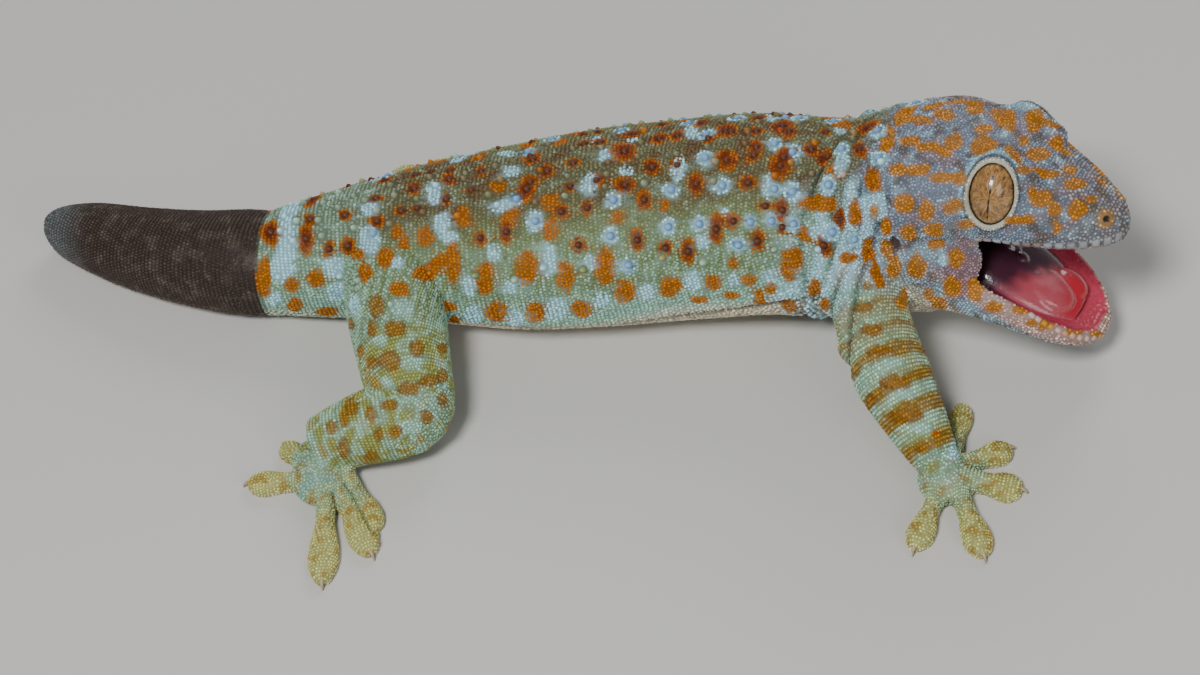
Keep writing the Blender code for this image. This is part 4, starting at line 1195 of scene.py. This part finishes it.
def scale_size(points):
    """The distance between neighbouring scales for each point, in millimetres."""
    angle = on_trunk(points)[0]
    local = in_frame(points, head)
    size = np.full(len(points), 0.66)
    size = size + 0.30 * smooth(angle, 108.0, 122.0)
    on_head = smooth(local[:, 0], -50.0, -40.0) * smooth(local[:, 2], -30.0, -24.0)
    size = size + (0.52 - size) * on_head
    size = size + 0.14 * on_head * smooth(local[:, 0], -16.0, -5.0)
    for turn in (-1, 1):
        gap = np.linalg.norm(in_frame(points, eye_frame(turn))[:, 1:], axis=1)
        size = np.where(gap < 7.5, size + (0.40 - size) * smooth(gap, 7.5, 6.5) * on_head, size)
    for leg, line in LEGS.items():
        share, gap = on_line(points, line)
        on_leg = smooth(gap, 1.5, 1.2) * smooth(share, 0.25, 0.5)
        size = size + (0.58 - size) * on_leg
        x, y = FEET[leg][0]
        foot = (np.hypot(points[:, 0] - x, points[:, 1] - y) < 27.0) & (points[:, 2] < 6.0)
        size = np.where(foot, 0.50, size)
    return size


roots = []


def add_roots(found, near=0.86):
    """Keep the roots that stand apart, on dry skin that shows."""
    if not found:
        return
    place = np.array([item[0] for item in found])
    facing = np.array([item[1] for item in found])
    size = scale_size(place)
    keep = (place[:, 2] > 0.25) & ~in_mouth(place, 0.3)
    for side in (-1, 1):
        gaze = in_frame(place, eye_frame(side))
        keep &= ~((np.linalg.norm(gaze, axis=1) < EYE_RADIUS + 0.5) & (gaze[:, 0] > -2.0))
        keep &= ~((gaze[:, 0] > 1.5) & (np.linalg.norm(gaze[:, 1:], axis=1) < 5.75))
        for spot, reach in ((NOSTRIL, 1.1), (EAR, 1.2)):
            offset = in_frame(place, head) - np.array(on_side(spot, side))
            keep &= np.linalg.norm(offset, axis=1) > reach
    for k in np.flatnonzero(keep):
        if free_place(Vector(place[k]), size[k] * near):
            roots.append((place[k], facing[k], size[k], found[k][2]))


def rings(places, reaches, step, arc, span=(0.0, 360.0), jitter=0.004):
    """Rays out from a line of frames, in rings that alternate by half a step."""
    found = []
    walk = 0.0
    row = 0
    for k in range(1, len(places)):
        start, end = places[k - 1].to_translation(), places[k].to_translation()
        length = (end - start).length
        while walk < length:
            share = walk / length
            centre = start.lerp(end, share)
            frame_here = places[k - 1] if share < 0.5 else places[k]
            across, up = frame_here.col[1].xyz, frame_here.col[2].xyz
            reach = reaches[k - 1] + (reaches[k] - reaches[k - 1]) * share
            count = max(6, int(round(math.radians(span[1] - span[0]) * reach * 0.93 / arc)))
            for n in range(count):
                turn = math.radians(span[0] + (span[1] - span[0]) * (n + 0.5 * (row % 2)) / count)
                turn += random.gauss(0.0, jitter)
                way = across * math.sin(turn) + up * math.cos(turn)
                way += frame_here.col[0].xyz * random.gauss(0.0, jitter)
                hit, normal, _, _ = surface.ray_cast(centre, way, reach * 1.5)
                if hit is not None and normal.dot(way) > 0.3:
                    found.append((hit, normal, frame_here.col[0].xyz))
            walk += step
            row += 1
        walk -= length
    return found


def line_reaches(sizes):
    """The largest size at each station."""
    return [max(size) for size in sizes]


def lip_plates(place, rows, count, front, back, level_row, lift, tall):
    """Plates along both sides of a jaw, found by rays in towards its middle line."""
    found = []
    table = np.array(sorted(ordered(between(rows, 5))))
    along = place.to_3x3() @ Vector((1.0, 0.0, 0.0))
    for side in (-1, 1):
        for k in range(count):
            share = (k + 0.5) / count
            x = front + (back - front) * share
            level = np.interp(x, table[:, 0], table[:, level_row]) + lift
            way = (place.to_3x3() @ Vector((0.5 * (1 - share) ** 4, side, 0.0))).normalized()
            start = place @ Vector((x, 0.0, level)) + way * 24.0
            hit, normal, _, _ = surface.ray_cast(start, -way, 23.0)
            if hit is None or normal.dot(way) < 0.3:
                continue
            free_place(hit, 1.45)
            found.append((hit, normal, along, abs(back - front) / count * 1.06,
                          tall * (1.1 - 0.3 * share)))
    return found


# The plates of the lips take their places first, then the cone-shaped tubercles in
# the middle of the ringed spots and the rust spots and along the back.
plates = lip_plates(head, CRANIUM, 14, -1.4, -23.0, 2, 2.1, 1.9)
upper = len(plates)
plates += lip_plates(jaw, JAW, 22, 39.2, 15.0, 3, -1.2, 1.0)
tubercles = []


def add_tubercle(place, normal, radius, height, kind):
    """Keep a tubercle if its place is free."""
    if free_place(Vector(place), radius * 2.3):
        tubercles.append((place, normal, radius, height, kind))


for kind, place, first, second, normal in spots:
    if kind == "ringed":
        add_tubercle(place, normal, 0.85, 0.62, "blue")
    elif kind == "rust" and (head.inverted() @ place).x < -46.0 and place.y > -18.0:
        add_tubercle(place, normal, 0.72, 0.62, "rust")
body_places, body_sizes = trunk_frames(8)
for row, turn in enumerate((-66, -26, -14, -2, 10, 24, 38, 52, 66)):
    x = -57.0 + 3.0 * (row % 2)
    while x < 54.0:
        centre = min((station.to_translation() for station in body_places),
                     key=lambda spot: abs(spot.x - x))
        angle = math.radians(turn + random.uniform(-4, 4))
        way = Vector((0, math.sin(angle), math.cos(angle)))
        hit, normal, _, _ = surface.ray_cast(centre, way, 26.0)
        x += random.uniform(5.4, 7.6)
        if hit is not None and normal.dot(way) > 0.5:
            add_tubercle(hit, normal, random.uniform(0.6, 0.85), random.uniform(0.6, 0.95),
                         "plain")
print("tubercles:", len(tubercles))

add_roots(rings(body_places, line_reaches(body_sizes), 0.80, 0.56), 0.74)
head_rows = between(ordered(CRANIUM), 6)[::-1]
head_places = [head @ Matrix.Translation((x, 0, (low + high) / 2))
               for x, _, low, high in head_rows]
add_roots(rings(head_places, [max(row[1], (row[3] - row[2]) / 2) for row in head_rows],
                0.53, 0.50, jitter=0.012))
jaw_rows = between(ordered(JAW), 6)
jaw_places = [jaw @ Matrix.Translation((x, 0, high * 0.6 + low * 0.4))
              for x, _, low, high in jaw_rows]
add_roots(rings(jaw_places, [max(row[1], row[3] - row[2]) for row in jaw_rows], 0.53, 0.50))
for leg in LEGS:
    for toe in FEET[leg][2]:
        toe_places, toe_sizes = toe_frames(*toe)
        add_roots(rings(toe_places, line_reaches(toe_sizes), 0.60, 0.46, (-95.0, 95.0)), 0.80)
    leg_places, leg_sizes = limb_frames(leg)
    add_roots(rings(leg_places, line_reaches(leg_sizes), 0.66, 0.52), 0.80)
in_rows = len(roots)

corners = points[np.array([face.vertices[:] for face in skin.data.polygons])]
sides = np.cross(corners[:, 1] - corners[:, 0], corners[:, 2] - corners[:, 0])
areas = np.linalg.norm(sides, axis=1)
chance = np.random.default_rng(SEED)
picked = chance.choice(len(areas), SCATTERED_TRIES, p=areas / areas.sum())
blends = chance.random((len(picked), 2))
over_one = blends.sum(1) > 1.0
blends[over_one] = 1.0 - blends[over_one]
scattered = (corners[picked, 0] + blends[:, :1] * (corners[picked, 1] - corners[picked, 0])
             + blends[:, 1:] * (corners[picked, 2] - corners[picked, 0]))
facing = sides[picked] / areas[picked, None]
add_roots([(a, b, (1.0, 0.0, 0.0)) for a, b in zip(scattered, facing)], 0.80)
print("scale roots:", in_rows, "in rows and", len(roots) - in_rows, "scattered")

# %% [markdown]
# Each scale is a small dome of six sides: a base ring sunk in the skin, a shoulder
# and a top. All domes are built at once from arrays of roots, normals and sizes, and
# joined into a few pieces. A scale has the colour of the markings at its root, with
# painted shade darkening its foot and a painted highlight brightening its top. Its
# patch on the map named OFBake lies at its root's place on a plan of the skin, where
# the trunk, head, jaw, legs and feet each have a rectangle.
# %% Building the scales
PIECE_SCALES = 10500
PATCH = 0.0015


def plan_of_skin(points):
    """Each root's place on the plan: along the part, and round it."""
    plan = np.zeros((len(points), 2))
    angle, side, _ = on_trunk(points)
    plan[:, 0] = 0.01 + 0.98 * (points[:, 0] + 110.0) / 175.0
    plan[:, 1] = 0.28 + 0.26 * side * angle / 180.0
    local = in_frame(points, head)
    chin = in_frame(points, jaw)
    on_head = (local[:, 0] > -44.0) & (local[:, 2] > -30.0) & (np.abs(local[:, 1]) < 22.0)
    turn = np.arctan2(local[:, 1], local[:, 2] - 3.0) / math.pi
    plan[on_head, 0] = 0.01 + 0.47 * (local[on_head, 0] + 44.0) / 46.0
    plan[on_head, 1] = 0.68 + 0.12 * turn[on_head]
    on_jaw = on_head & (chin[:, 2] < 0.6) & (local[:, 2] < -1.0)
    turn = np.arctan2(chin[:, 1], -3.0 - chin[:, 2]) / math.pi
    plan[on_jaw, 0] = 0.51 + 0.47 * (chin[on_jaw, 0] + 8.0) / 48.0
    plan[on_jaw, 1] = 0.68 + 0.12 * turn[on_jaw]
    for k, (leg, line) in enumerate(LEGS.items()):
        share, gap = on_line(points, line)
        x, y = FEET[leg][0]
        on_leg = (gap < 1.4) & (share > 0.3)
        line_x, line_y, line_z = (
            np.interp(share, np.linspace(0, 1, len(line)), [row[n] for row in line])
            for n in range(3))
        across = (points[:, 0] - line_x) + (points[:, 1] - line_y) * 0.3
        turn = np.arctan2(across, points[:, 2] - line_z) / math.pi
        plan[on_leg, 0] = 0.01 + 0.25 * k + 0.11 * share[on_leg]
        plan[on_leg, 1] = 0.90 + 0.08 * turn[on_leg]
        reach = np.hypot(points[:, 0] - x, points[:, 1] - y)
        foot = (reach < 24.0) & (points[:, 2] < 6.0) & ~on_leg
        plan[foot, 0] = 0.19 + 0.25 * k + 0.0028 * (points[foot, 0] - x)
        plan[foot, 1] = 0.90 + 0.0034 * (points[foot, 1] - y)
    return np.clip(plan, 0.002, 0.998)


def rounded(value, power):
    """A sine or cosine bent towards a box with soft corners."""
    return np.sign(value) * np.abs(value) ** (2.0 / power)


def dome_mesh(name, place, facing, ahead, length, width, height, colour, power=2.0,
              sides=6, shoulder=0.74, rise=0.68, sink=0.10, top_highlight=1.12):
    """One mesh of many domes, with their colours and their plan patches; each dome is
    darker at its foot as painted shade and brighter at its top as a painted highlight.
    """
    count = len(place)
    along = ahead - facing * (ahead * facing).sum(1)[:, None]
    spare = np.cross(facing, [0.0, 0.3, 1.0])
    weak = np.linalg.norm(along, axis=1) < 0.2
    along[weak] = spare[weak]
    along /= np.linalg.norm(along, axis=1)[:, None]
    across = np.cross(facing, along)
    turns = 2.0 * math.pi * (np.arange(sides) + 0.5) / sides
    ring_x, ring_y = rounded(np.cos(turns), power), rounded(np.sin(turns), power)
    verts = np.zeros((count, 2 * sides + 1, 3))
    patch = np.zeros((count, 2 * sides + 1, 2))
    tone = np.zeros((count, 2 * sides + 1))
    for k in range(sides):
        reach = (along * (ring_x[k] * length / 2)[:, None]
                 + across * (ring_y[k] * width / 2)[:, None])
        verts[:, k] = place + reach - facing * sink
        verts[:, sides + k] = place + reach * shoulder + facing * (height * rise)[:, None]
        patch[:, k] = PATCH * np.array([ring_x[k], ring_y[k]])
        patch[:, sides + k] = patch[:, k] * shoulder
        # The base ring is darkened as painted shade; the top point below is brightened as a painted
        # highlight.
        tone[:, k], tone[:, sides + k] = 0.42, 1.0
    verts[:, 2 * sides] = place + facing * height[:, None]
    tone[:, 2 * sides] = top_highlight
    quads = []
    for k in range(sides):
        n = (k + 1) % sides
        quads += [(k, n, sides + n), (k, sides + n, sides + k),
                  (sides + k, sides + n, 2 * sides)]
    starts = np.arange(count) * (2 * sides + 1)
    faces = (np.array(quads)[None] + starts[:, None, None]).reshape(-1, 3)
    verts = verts.reshape(-1, 3)
    mesh = bpy.data.meshes.new(name)
    mesh.vertices.add(len(verts))
    mesh.vertices.foreach_set("co", (verts * MM).astype(np.float32).ravel())
    mesh.loops.add(faces.size)
    mesh.loops.foreach_set("vertex_index", faces.astype(np.int32).ravel())
    mesh.polygons.add(len(faces))
    mesh.polygons.foreach_set("loop_start", np.arange(0, faces.size, 3, dtype=np.int32))
    mesh.update(calc_edges=True)
    mesh.polygons.foreach_set("use_smooth", np.ones(len(faces), dtype=bool))
    layer = mesh.uv_layers.new(name="OFBake")
    plan = (plan_of_skin(place)[:, None] + patch).reshape(-1, 2)
    layer.data.foreach_set("uv", plan[faces.ravel()].astype(np.float32).ravel())
    shades = (colour[:, None] * tone[:, :, None]).reshape(-1, 3)
    store_colour(mesh, shades, np.zeros(len(verts)))
    return mesh


scale_paint = skin_material("scales", 2600.0, 0.0, wet_shine=False, roughness=0.46)
pieces = []


def add_piece(name, mesh, paint=scale_paint):
    """A finished piece of the coat, riding on the animal."""
    piece = linked(bpy.data.objects.new(name, mesh))
    mesh.materials.append(paint)
    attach(piece, "root")
    pieces.append(piece)


place, facing, size, ahead = (np.array([item[k] for item in roots], dtype=float)
                              for k in range(4))
colour = painted(place, facing)[0]
in_head = smooth(in_frame(place, head)[:, 0], -46.0, -42.0)
uneven = 1.0 + (0.14 + 0.12 * in_head) * chance.standard_normal(len(place))
colour = colour * uneven[:, None].clip(0.6, 1.7)
spread = 1.0 + 0.08 * chance.standard_normal(len(place))
order = np.argsort(place[:, 0], kind="stable")
for n, start in enumerate(range(0, len(order), PIECE_SCALES)):
    pick = order[start:start + PIECE_SCALES]
    mesh = dome_mesh(f"scales_{n + 1}", place[pick], facing[pick], ahead[pick],
                     size[pick] * spread[pick], size[pick] * 0.92 * spread[pick],
                     size[pick] * 0.36 * spread[pick], colour[pick])
    add_piece(f"scales_{n + 1}", mesh)
print("scales:", len(order), "in", len(pieces), "pieces")

# %% [markdown]
# The tubercles are steeper domes with a blunt tip. In a ringed spot the cone is blue,
# in a rust spot it is dark brown, and on the back it has the colour of the skin round
# it, painted a little paler as a highlight. Every tip is painted pale as a highlight,
# and every foot darker as shade.
# %% Tubercles
place, facing = (np.array([item[k] for item in tubercles], dtype=float) for k in (0, 1))
radius, height = (np.array([item[k] for item in tubercles]) for k in (2, 3))
kinds = np.array([item[4] for item in tubercles])
colour = painted(place, facing)[0]
colour[kinds == "blue"] = (0.20, 0.38, 0.62)
colour[kinds == "rust"] = (0.115, 0.032, 0.012)
# The plain tubercles are painted a little paler as a highlight.
colour[kinds == "plain"] *= 1.1
facing = facing + np.array([-0.30, 0.0, 0.0])
facing /= np.linalg.norm(facing, axis=1)[:, None]
mesh = dome_mesh("tubercles", place, facing, np.tile((1.0, 0.0, 0.0), (len(place), 1)),
                 radius * 2, radius * 2, height, colour, sides=10, shoulder=0.55, rise=0.62,
                 sink=0.15, top_highlight=1.5)
add_piece("tubercles", mesh)
print("tubercles built:", len(place))

# %% [markdown]
# The lips are edged with rows of plates, set side by side along both jaws: larger pale
# ones above, and smaller flat ones with the colours of the skin below. They are boxes
# with soft corners that shine a little more than the skin.
# %% Lip plates
place, facing, ahead = (np.array([item[k] for item in plates], dtype=float) for k in range(3))
length, tall = (np.array([item[k] for item in plates]) for k in (3, 4))
low_row = np.arange(len(place)) >= upper
colour = painted(place, facing)[0]
paler = np.where(low_row, 0.0, 0.32)[:, None]
colour = colour * (1 - paler) + np.array([0.34, 0.27, 0.25]) * paler
# Like every dome, each plate is painted darker at its foot as shade and brighter at its top as a
# highlight.
mesh = dome_mesh("lip_plates", place, facing, ahead, length, tall, np.where(low_row, 0.13, 0.34),
                 colour, power=4.5, sides=16, shoulder=0.80, rise=0.7, sink=0.2, top_highlight=1.1)
lip_paint = skin_material("lips", 2600.0, 0.0, wet_shine=False, roughness=0.28)
add_piece("lip_plates", mesh, lip_paint)
print("lip plates:", upper, "upper and", len(plates) - upper, "lower")

# %% [markdown]
# The eyes are large and lidless, under a clear scale. Each is a ball with its own
# coordinates kept on its points, so that the material can draw the golden iris with
# fine veins, the dark limbus and the upright slit pupil with its small beads.
# %% Eyes


def eye_material():
    """Golden iris, veins, slit pupil and a wet clear coat."""
    made, tree, shader = new_paint("iris")
    gaze = node(tree, "ShaderNodeAttribute", attribute_name="gaze")
    parts = node(tree, "ShaderNodeSeparateXYZ")
    tree.links.new(gaze.outputs["Vector"], parts.inputs["Vector"])

    def maths(operation, first, second=None, clamp=False):
        made = node(tree, "ShaderNodeMath", operation=operation, use_clamp=clamp)
        for socket, value in zip(made.inputs, (first, second)):
            if isinstance(value, (int, float)):
                socket.default_value = value
            elif value is not None:
                tree.links.new(value, socket)
        return made.outputs[0]

    across, rise = parts.outputs["Y"], parts.outputs["Z"]
    radius = maths("SQRT", maths("ADD", maths("MULTIPLY", across, across),
                                 maths("MULTIPLY", rise, rise)))

    def oval(middle, half_width, half_height, softness=0.25):
        """1 inside an upright oval of the pupil."""
        wide = maths("DIVIDE", across, half_width)
        tall = maths("DIVIDE", maths("SUBTRACT", rise, middle), half_height)
        size = maths("SQRT", maths("ADD", maths("MULTIPLY", wide, wide),
                                   maths("MULTIPLY", tall, tall)))
        return maths("DIVIDE", maths("SUBTRACT", 1.0 + softness, size), softness, True)

    pupil = oval(-0.2, 0.07, 3.4)
    for middle, half_width, half_height in ((3.1, 0.20, 0.40), (1.15, 0.22, 0.42),
                                            (-0.7, 0.22, 0.5), (-1.9, 0.24, 0.8),
                                            (-3.4, 0.14, 0.3)):
        pupil = maths("MAXIMUM", pupil, oval(middle, half_width, half_height))

    spread = node(tree, "ShaderNodeVectorMath", operation="NORMALIZE")
    flat = node(tree, "ShaderNodeCombineXYZ")
    tree.links.new(across, flat.inputs["Y"])
    tree.links.new(rise, flat.inputs["Z"])
    tree.links.new(flat.outputs["Vector"], spread.inputs[0])
    rays = node(tree, "ShaderNodeVectorMath", operation="MULTIPLY_ADD")
    set_sockets(rays, {1: (1.0, 3.4, 3.4)})
    tree.links.new(spread.outputs["Vector"], rays.inputs[0])
    bend = node(tree, "ShaderNodeVectorMath", operation="SCALE")
    bend.inputs["Scale"].default_value = 0.55
    tree.links.new(gaze.outputs["Vector"], bend.inputs[0])
    tree.links.new(bend.outputs["Vector"], rays.inputs[2])
    veins = node(tree, "ShaderNodeTexNoise", Scale=1.35, Detail=7.0, Roughness=0.78)
    veins.inputs["Distortion"].default_value = 0.9
    tree.links.new(rays.outputs["Vector"], veins.inputs["Vector"])
    ramp = node(tree, "ShaderNodeValToRGB")
    stops = ramp.color_ramp.elements
    stops[0].position, stops[0].color = 0.36, (0.050, 0.018, 0.006, 1)
    stops[1].position, stops[1].color = 0.62, (0.53, 0.31, 0.10, 1)
    stops.new(0.48).color = (0.27, 0.130, 0.038, 1)
    tree.links.new(veins.outputs["Fac"], ramp.inputs["Fac"])

    def over(base, colour, share):
        """A colour laid over another by a share."""
        made = node(tree, "ShaderNodeMix", data_type="RGBA")
        tree.links.new(base, made.inputs[6])
        made.inputs[7].default_value = colour
        tree.links.new(share, made.inputs[0])
        return made.outputs[2]

    limbus = maths("DIVIDE", maths("SUBTRACT", radius, 4.72), 0.3, True)
    coloured = over(ramp.outputs["Color"], (0.03, 0.012, 0.006, 1), limbus)
    coloured = over(coloured, (0.004, 0.003, 0.003, 1), pupil)
    tree.links.new(coloured, shader.inputs["Base Color"])
    set_sockets(shader, {"Roughness": 0.35, "Coat Weight": 1.0, "Coat Roughness": 0.03,
                         "Coat IOR": 1.45})
    return made


iris = eye_material()
for side, name in ((-1, "eye_right"), (1, "eye_left")):
    gaze = eye_frame(side)
    bm = bmesh.new()
    ball(bm, (0, 0, 0), (EYE_RADIUS,) * 3, gaze, 72)
    eye = object_from("gecko_" + name, bm)
    inward = in_metres(gaze).inverted()
    local = [inward @ vert.co / MM for vert in eye.data.vertices]
    stored = eye.data.attributes.new("gaze", "FLOAT_VECTOR", "POINT")
    stored.data.foreach_set("vector", np.array(local, dtype=np.float32).ravel())
    shade_smooth(eye)
    eye.data.materials.append(iris)
    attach(eye, "root")
    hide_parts(name)
print("eyes of", EYE_RADIUS * 2, "mm set in their sockets")

# %% [markdown]
# The tongue is a broad wet muscle that fills the front of the lower jaw. It is lofted
# like the jaw and fused with a few soft swellings. It is painted red at the tip, pink
# on top, and darker towards the throat as painted shade, under a strong wet gloss.
# %% Tongue


def flesh_material(name, roughness):
    """Wet flesh that reads its painted colours."""
    made, tree, shader = new_paint(name)
    tint = node(tree, "ShaderNodeAttribute", attribute_name="tint")
    tree.links.new(tint.outputs["Color"], shader.inputs["Base Color"])
    place = node(tree, "ShaderNodeTexCoord")
    fine = node(tree, "ShaderNodeTexNoise", Scale=1500.0, Detail=3.0)
    tree.links.new(place.outputs["Object"], fine.inputs["Vector"])
    relief = node(tree, "ShaderNodeBump", Strength=0.5, Distance=0.0002)
    tree.links.new(fine.outputs["Fac"], relief.inputs["Height"])
    tree.links.new(relief.outputs["Normal"], shader.inputs["Normal"])
    set_sockets(shader, {"Roughness": roughness, "Coat Weight": 0.8, "Coat Roughness": 0.08,
                         "Subsurface Weight": 0.2,
                         "Subsurface Radius": (0.002, 0.0008, 0.0006), "Subsurface Scale": 1.0})
    return made


bm = bmesh.new()
head_tube(bm, jaw, TONGUE, (2.2, 2.4), steps=8, sides=48)
ball(bm, (28.0, -1.6, 1.0), (5.4, 4.2, 1.7), jaw, 28)
ball(bm, (31.0, 2.8, 0.8), (3.6, 3.0, 1.5), jaw, 24)
ball(bm, (18.5, 0.8, 2.2), (2.2, 1.8, 1.5), jaw, 20)
ball(bm, (21.5, -0.6, 1.9), (1.6, 1.3, 1.2), jaw, 20)
tongue = object_from("gecko_tongue", bm)
blend(tongue, 0.28, 4)
local = in_frame(mesh_points(tongue.data), jaw)
blotch = speckle(local, 2.2)
flesh = mix((0.42, 0.075, 0.10), (0.46, 0.012, 0.028),
            smooth(local[:, 0] + 0.7 * local[:, 1] + blotch, 26.0, 33.0))
flesh = mix(flesh, (0.55, 0.22, 0.24), smooth(local[:, 2] + 0.9 * blotch, 2.3, 3.2) * 0.4)
flesh = mix(flesh, (0.30, 0.075, 0.12), smooth(local[:, 2], 0.6, -0.6))
# Towards the throat, and further on the far side, the tongue is darkened as painted shade.
flesh = mix(flesh, (0.055, 0.016, 0.030),
            smooth(local[:, 0] - 0.5 * local[:, 1] + 1.6 * blotch, 28.5, 23.5))
flesh = mix(flesh, (0.016, 0.006, 0.010), smooth(local[:, 0], 18.5, 15.5))
store_colour(tongue.data, flesh, np.ones(len(local)))
shade_smooth(tongue)
tongue.data.materials.append(flesh_material("wet_tongue", 0.28))
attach(tongue, "root")
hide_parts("tongue")
print("tongue:", len(tongue.data.polygons), "faces")

# %% [markdown]
# Every toe but the first ends in a small curved claw. A ring is carried round a
# quarter turn and drawn in to a point, and the claw is set at the toe's tip so that it
# curves down to the floor.
# %% Claws
claw_paint, _, claw_shader = new_paint("claw")
set_sockets(claw_shader, {"Base Color": (0.42, 0.34, 0.20, 1.0), "Roughness": 0.32})

bm = bmesh.new()
for leg in LEGS:
    for base, tip, _ in FEET[leg][2][1:]:
        heading = Vector((tip[0] - base[0], tip[1] - base[1], 0.0)).normalized()
        root = Vector((tip[0], tip[1], 1.3)) - heading * 0.35
        bend = []
        sizes = []
        for k in range(7):
            turn = math.radians(18.0 * k - 12.0)
            reach = heading * (1.4 * math.sin(turn)) + Vector((0, 0, 1.3 * (math.cos(turn) - 1)))
            bend.append(root + reach + Vector((0, 0, 0.12)))
            sizes.append((0.5 * (1 - k / 6.6),) * 3)
        tube(bm, frames_along(bend, [0.0] * len(bend)), sizes, (2.0, 2.0), 10)
claws = object_from("gecko_claws", bm)
for vert in claws.data.vertices:
    vert.co.z = max(vert.co.z, 0.0)
shade_smooth(claws)
claws.data.materials.append(claw_paint)
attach(claws, "root")
print("claws: 16")
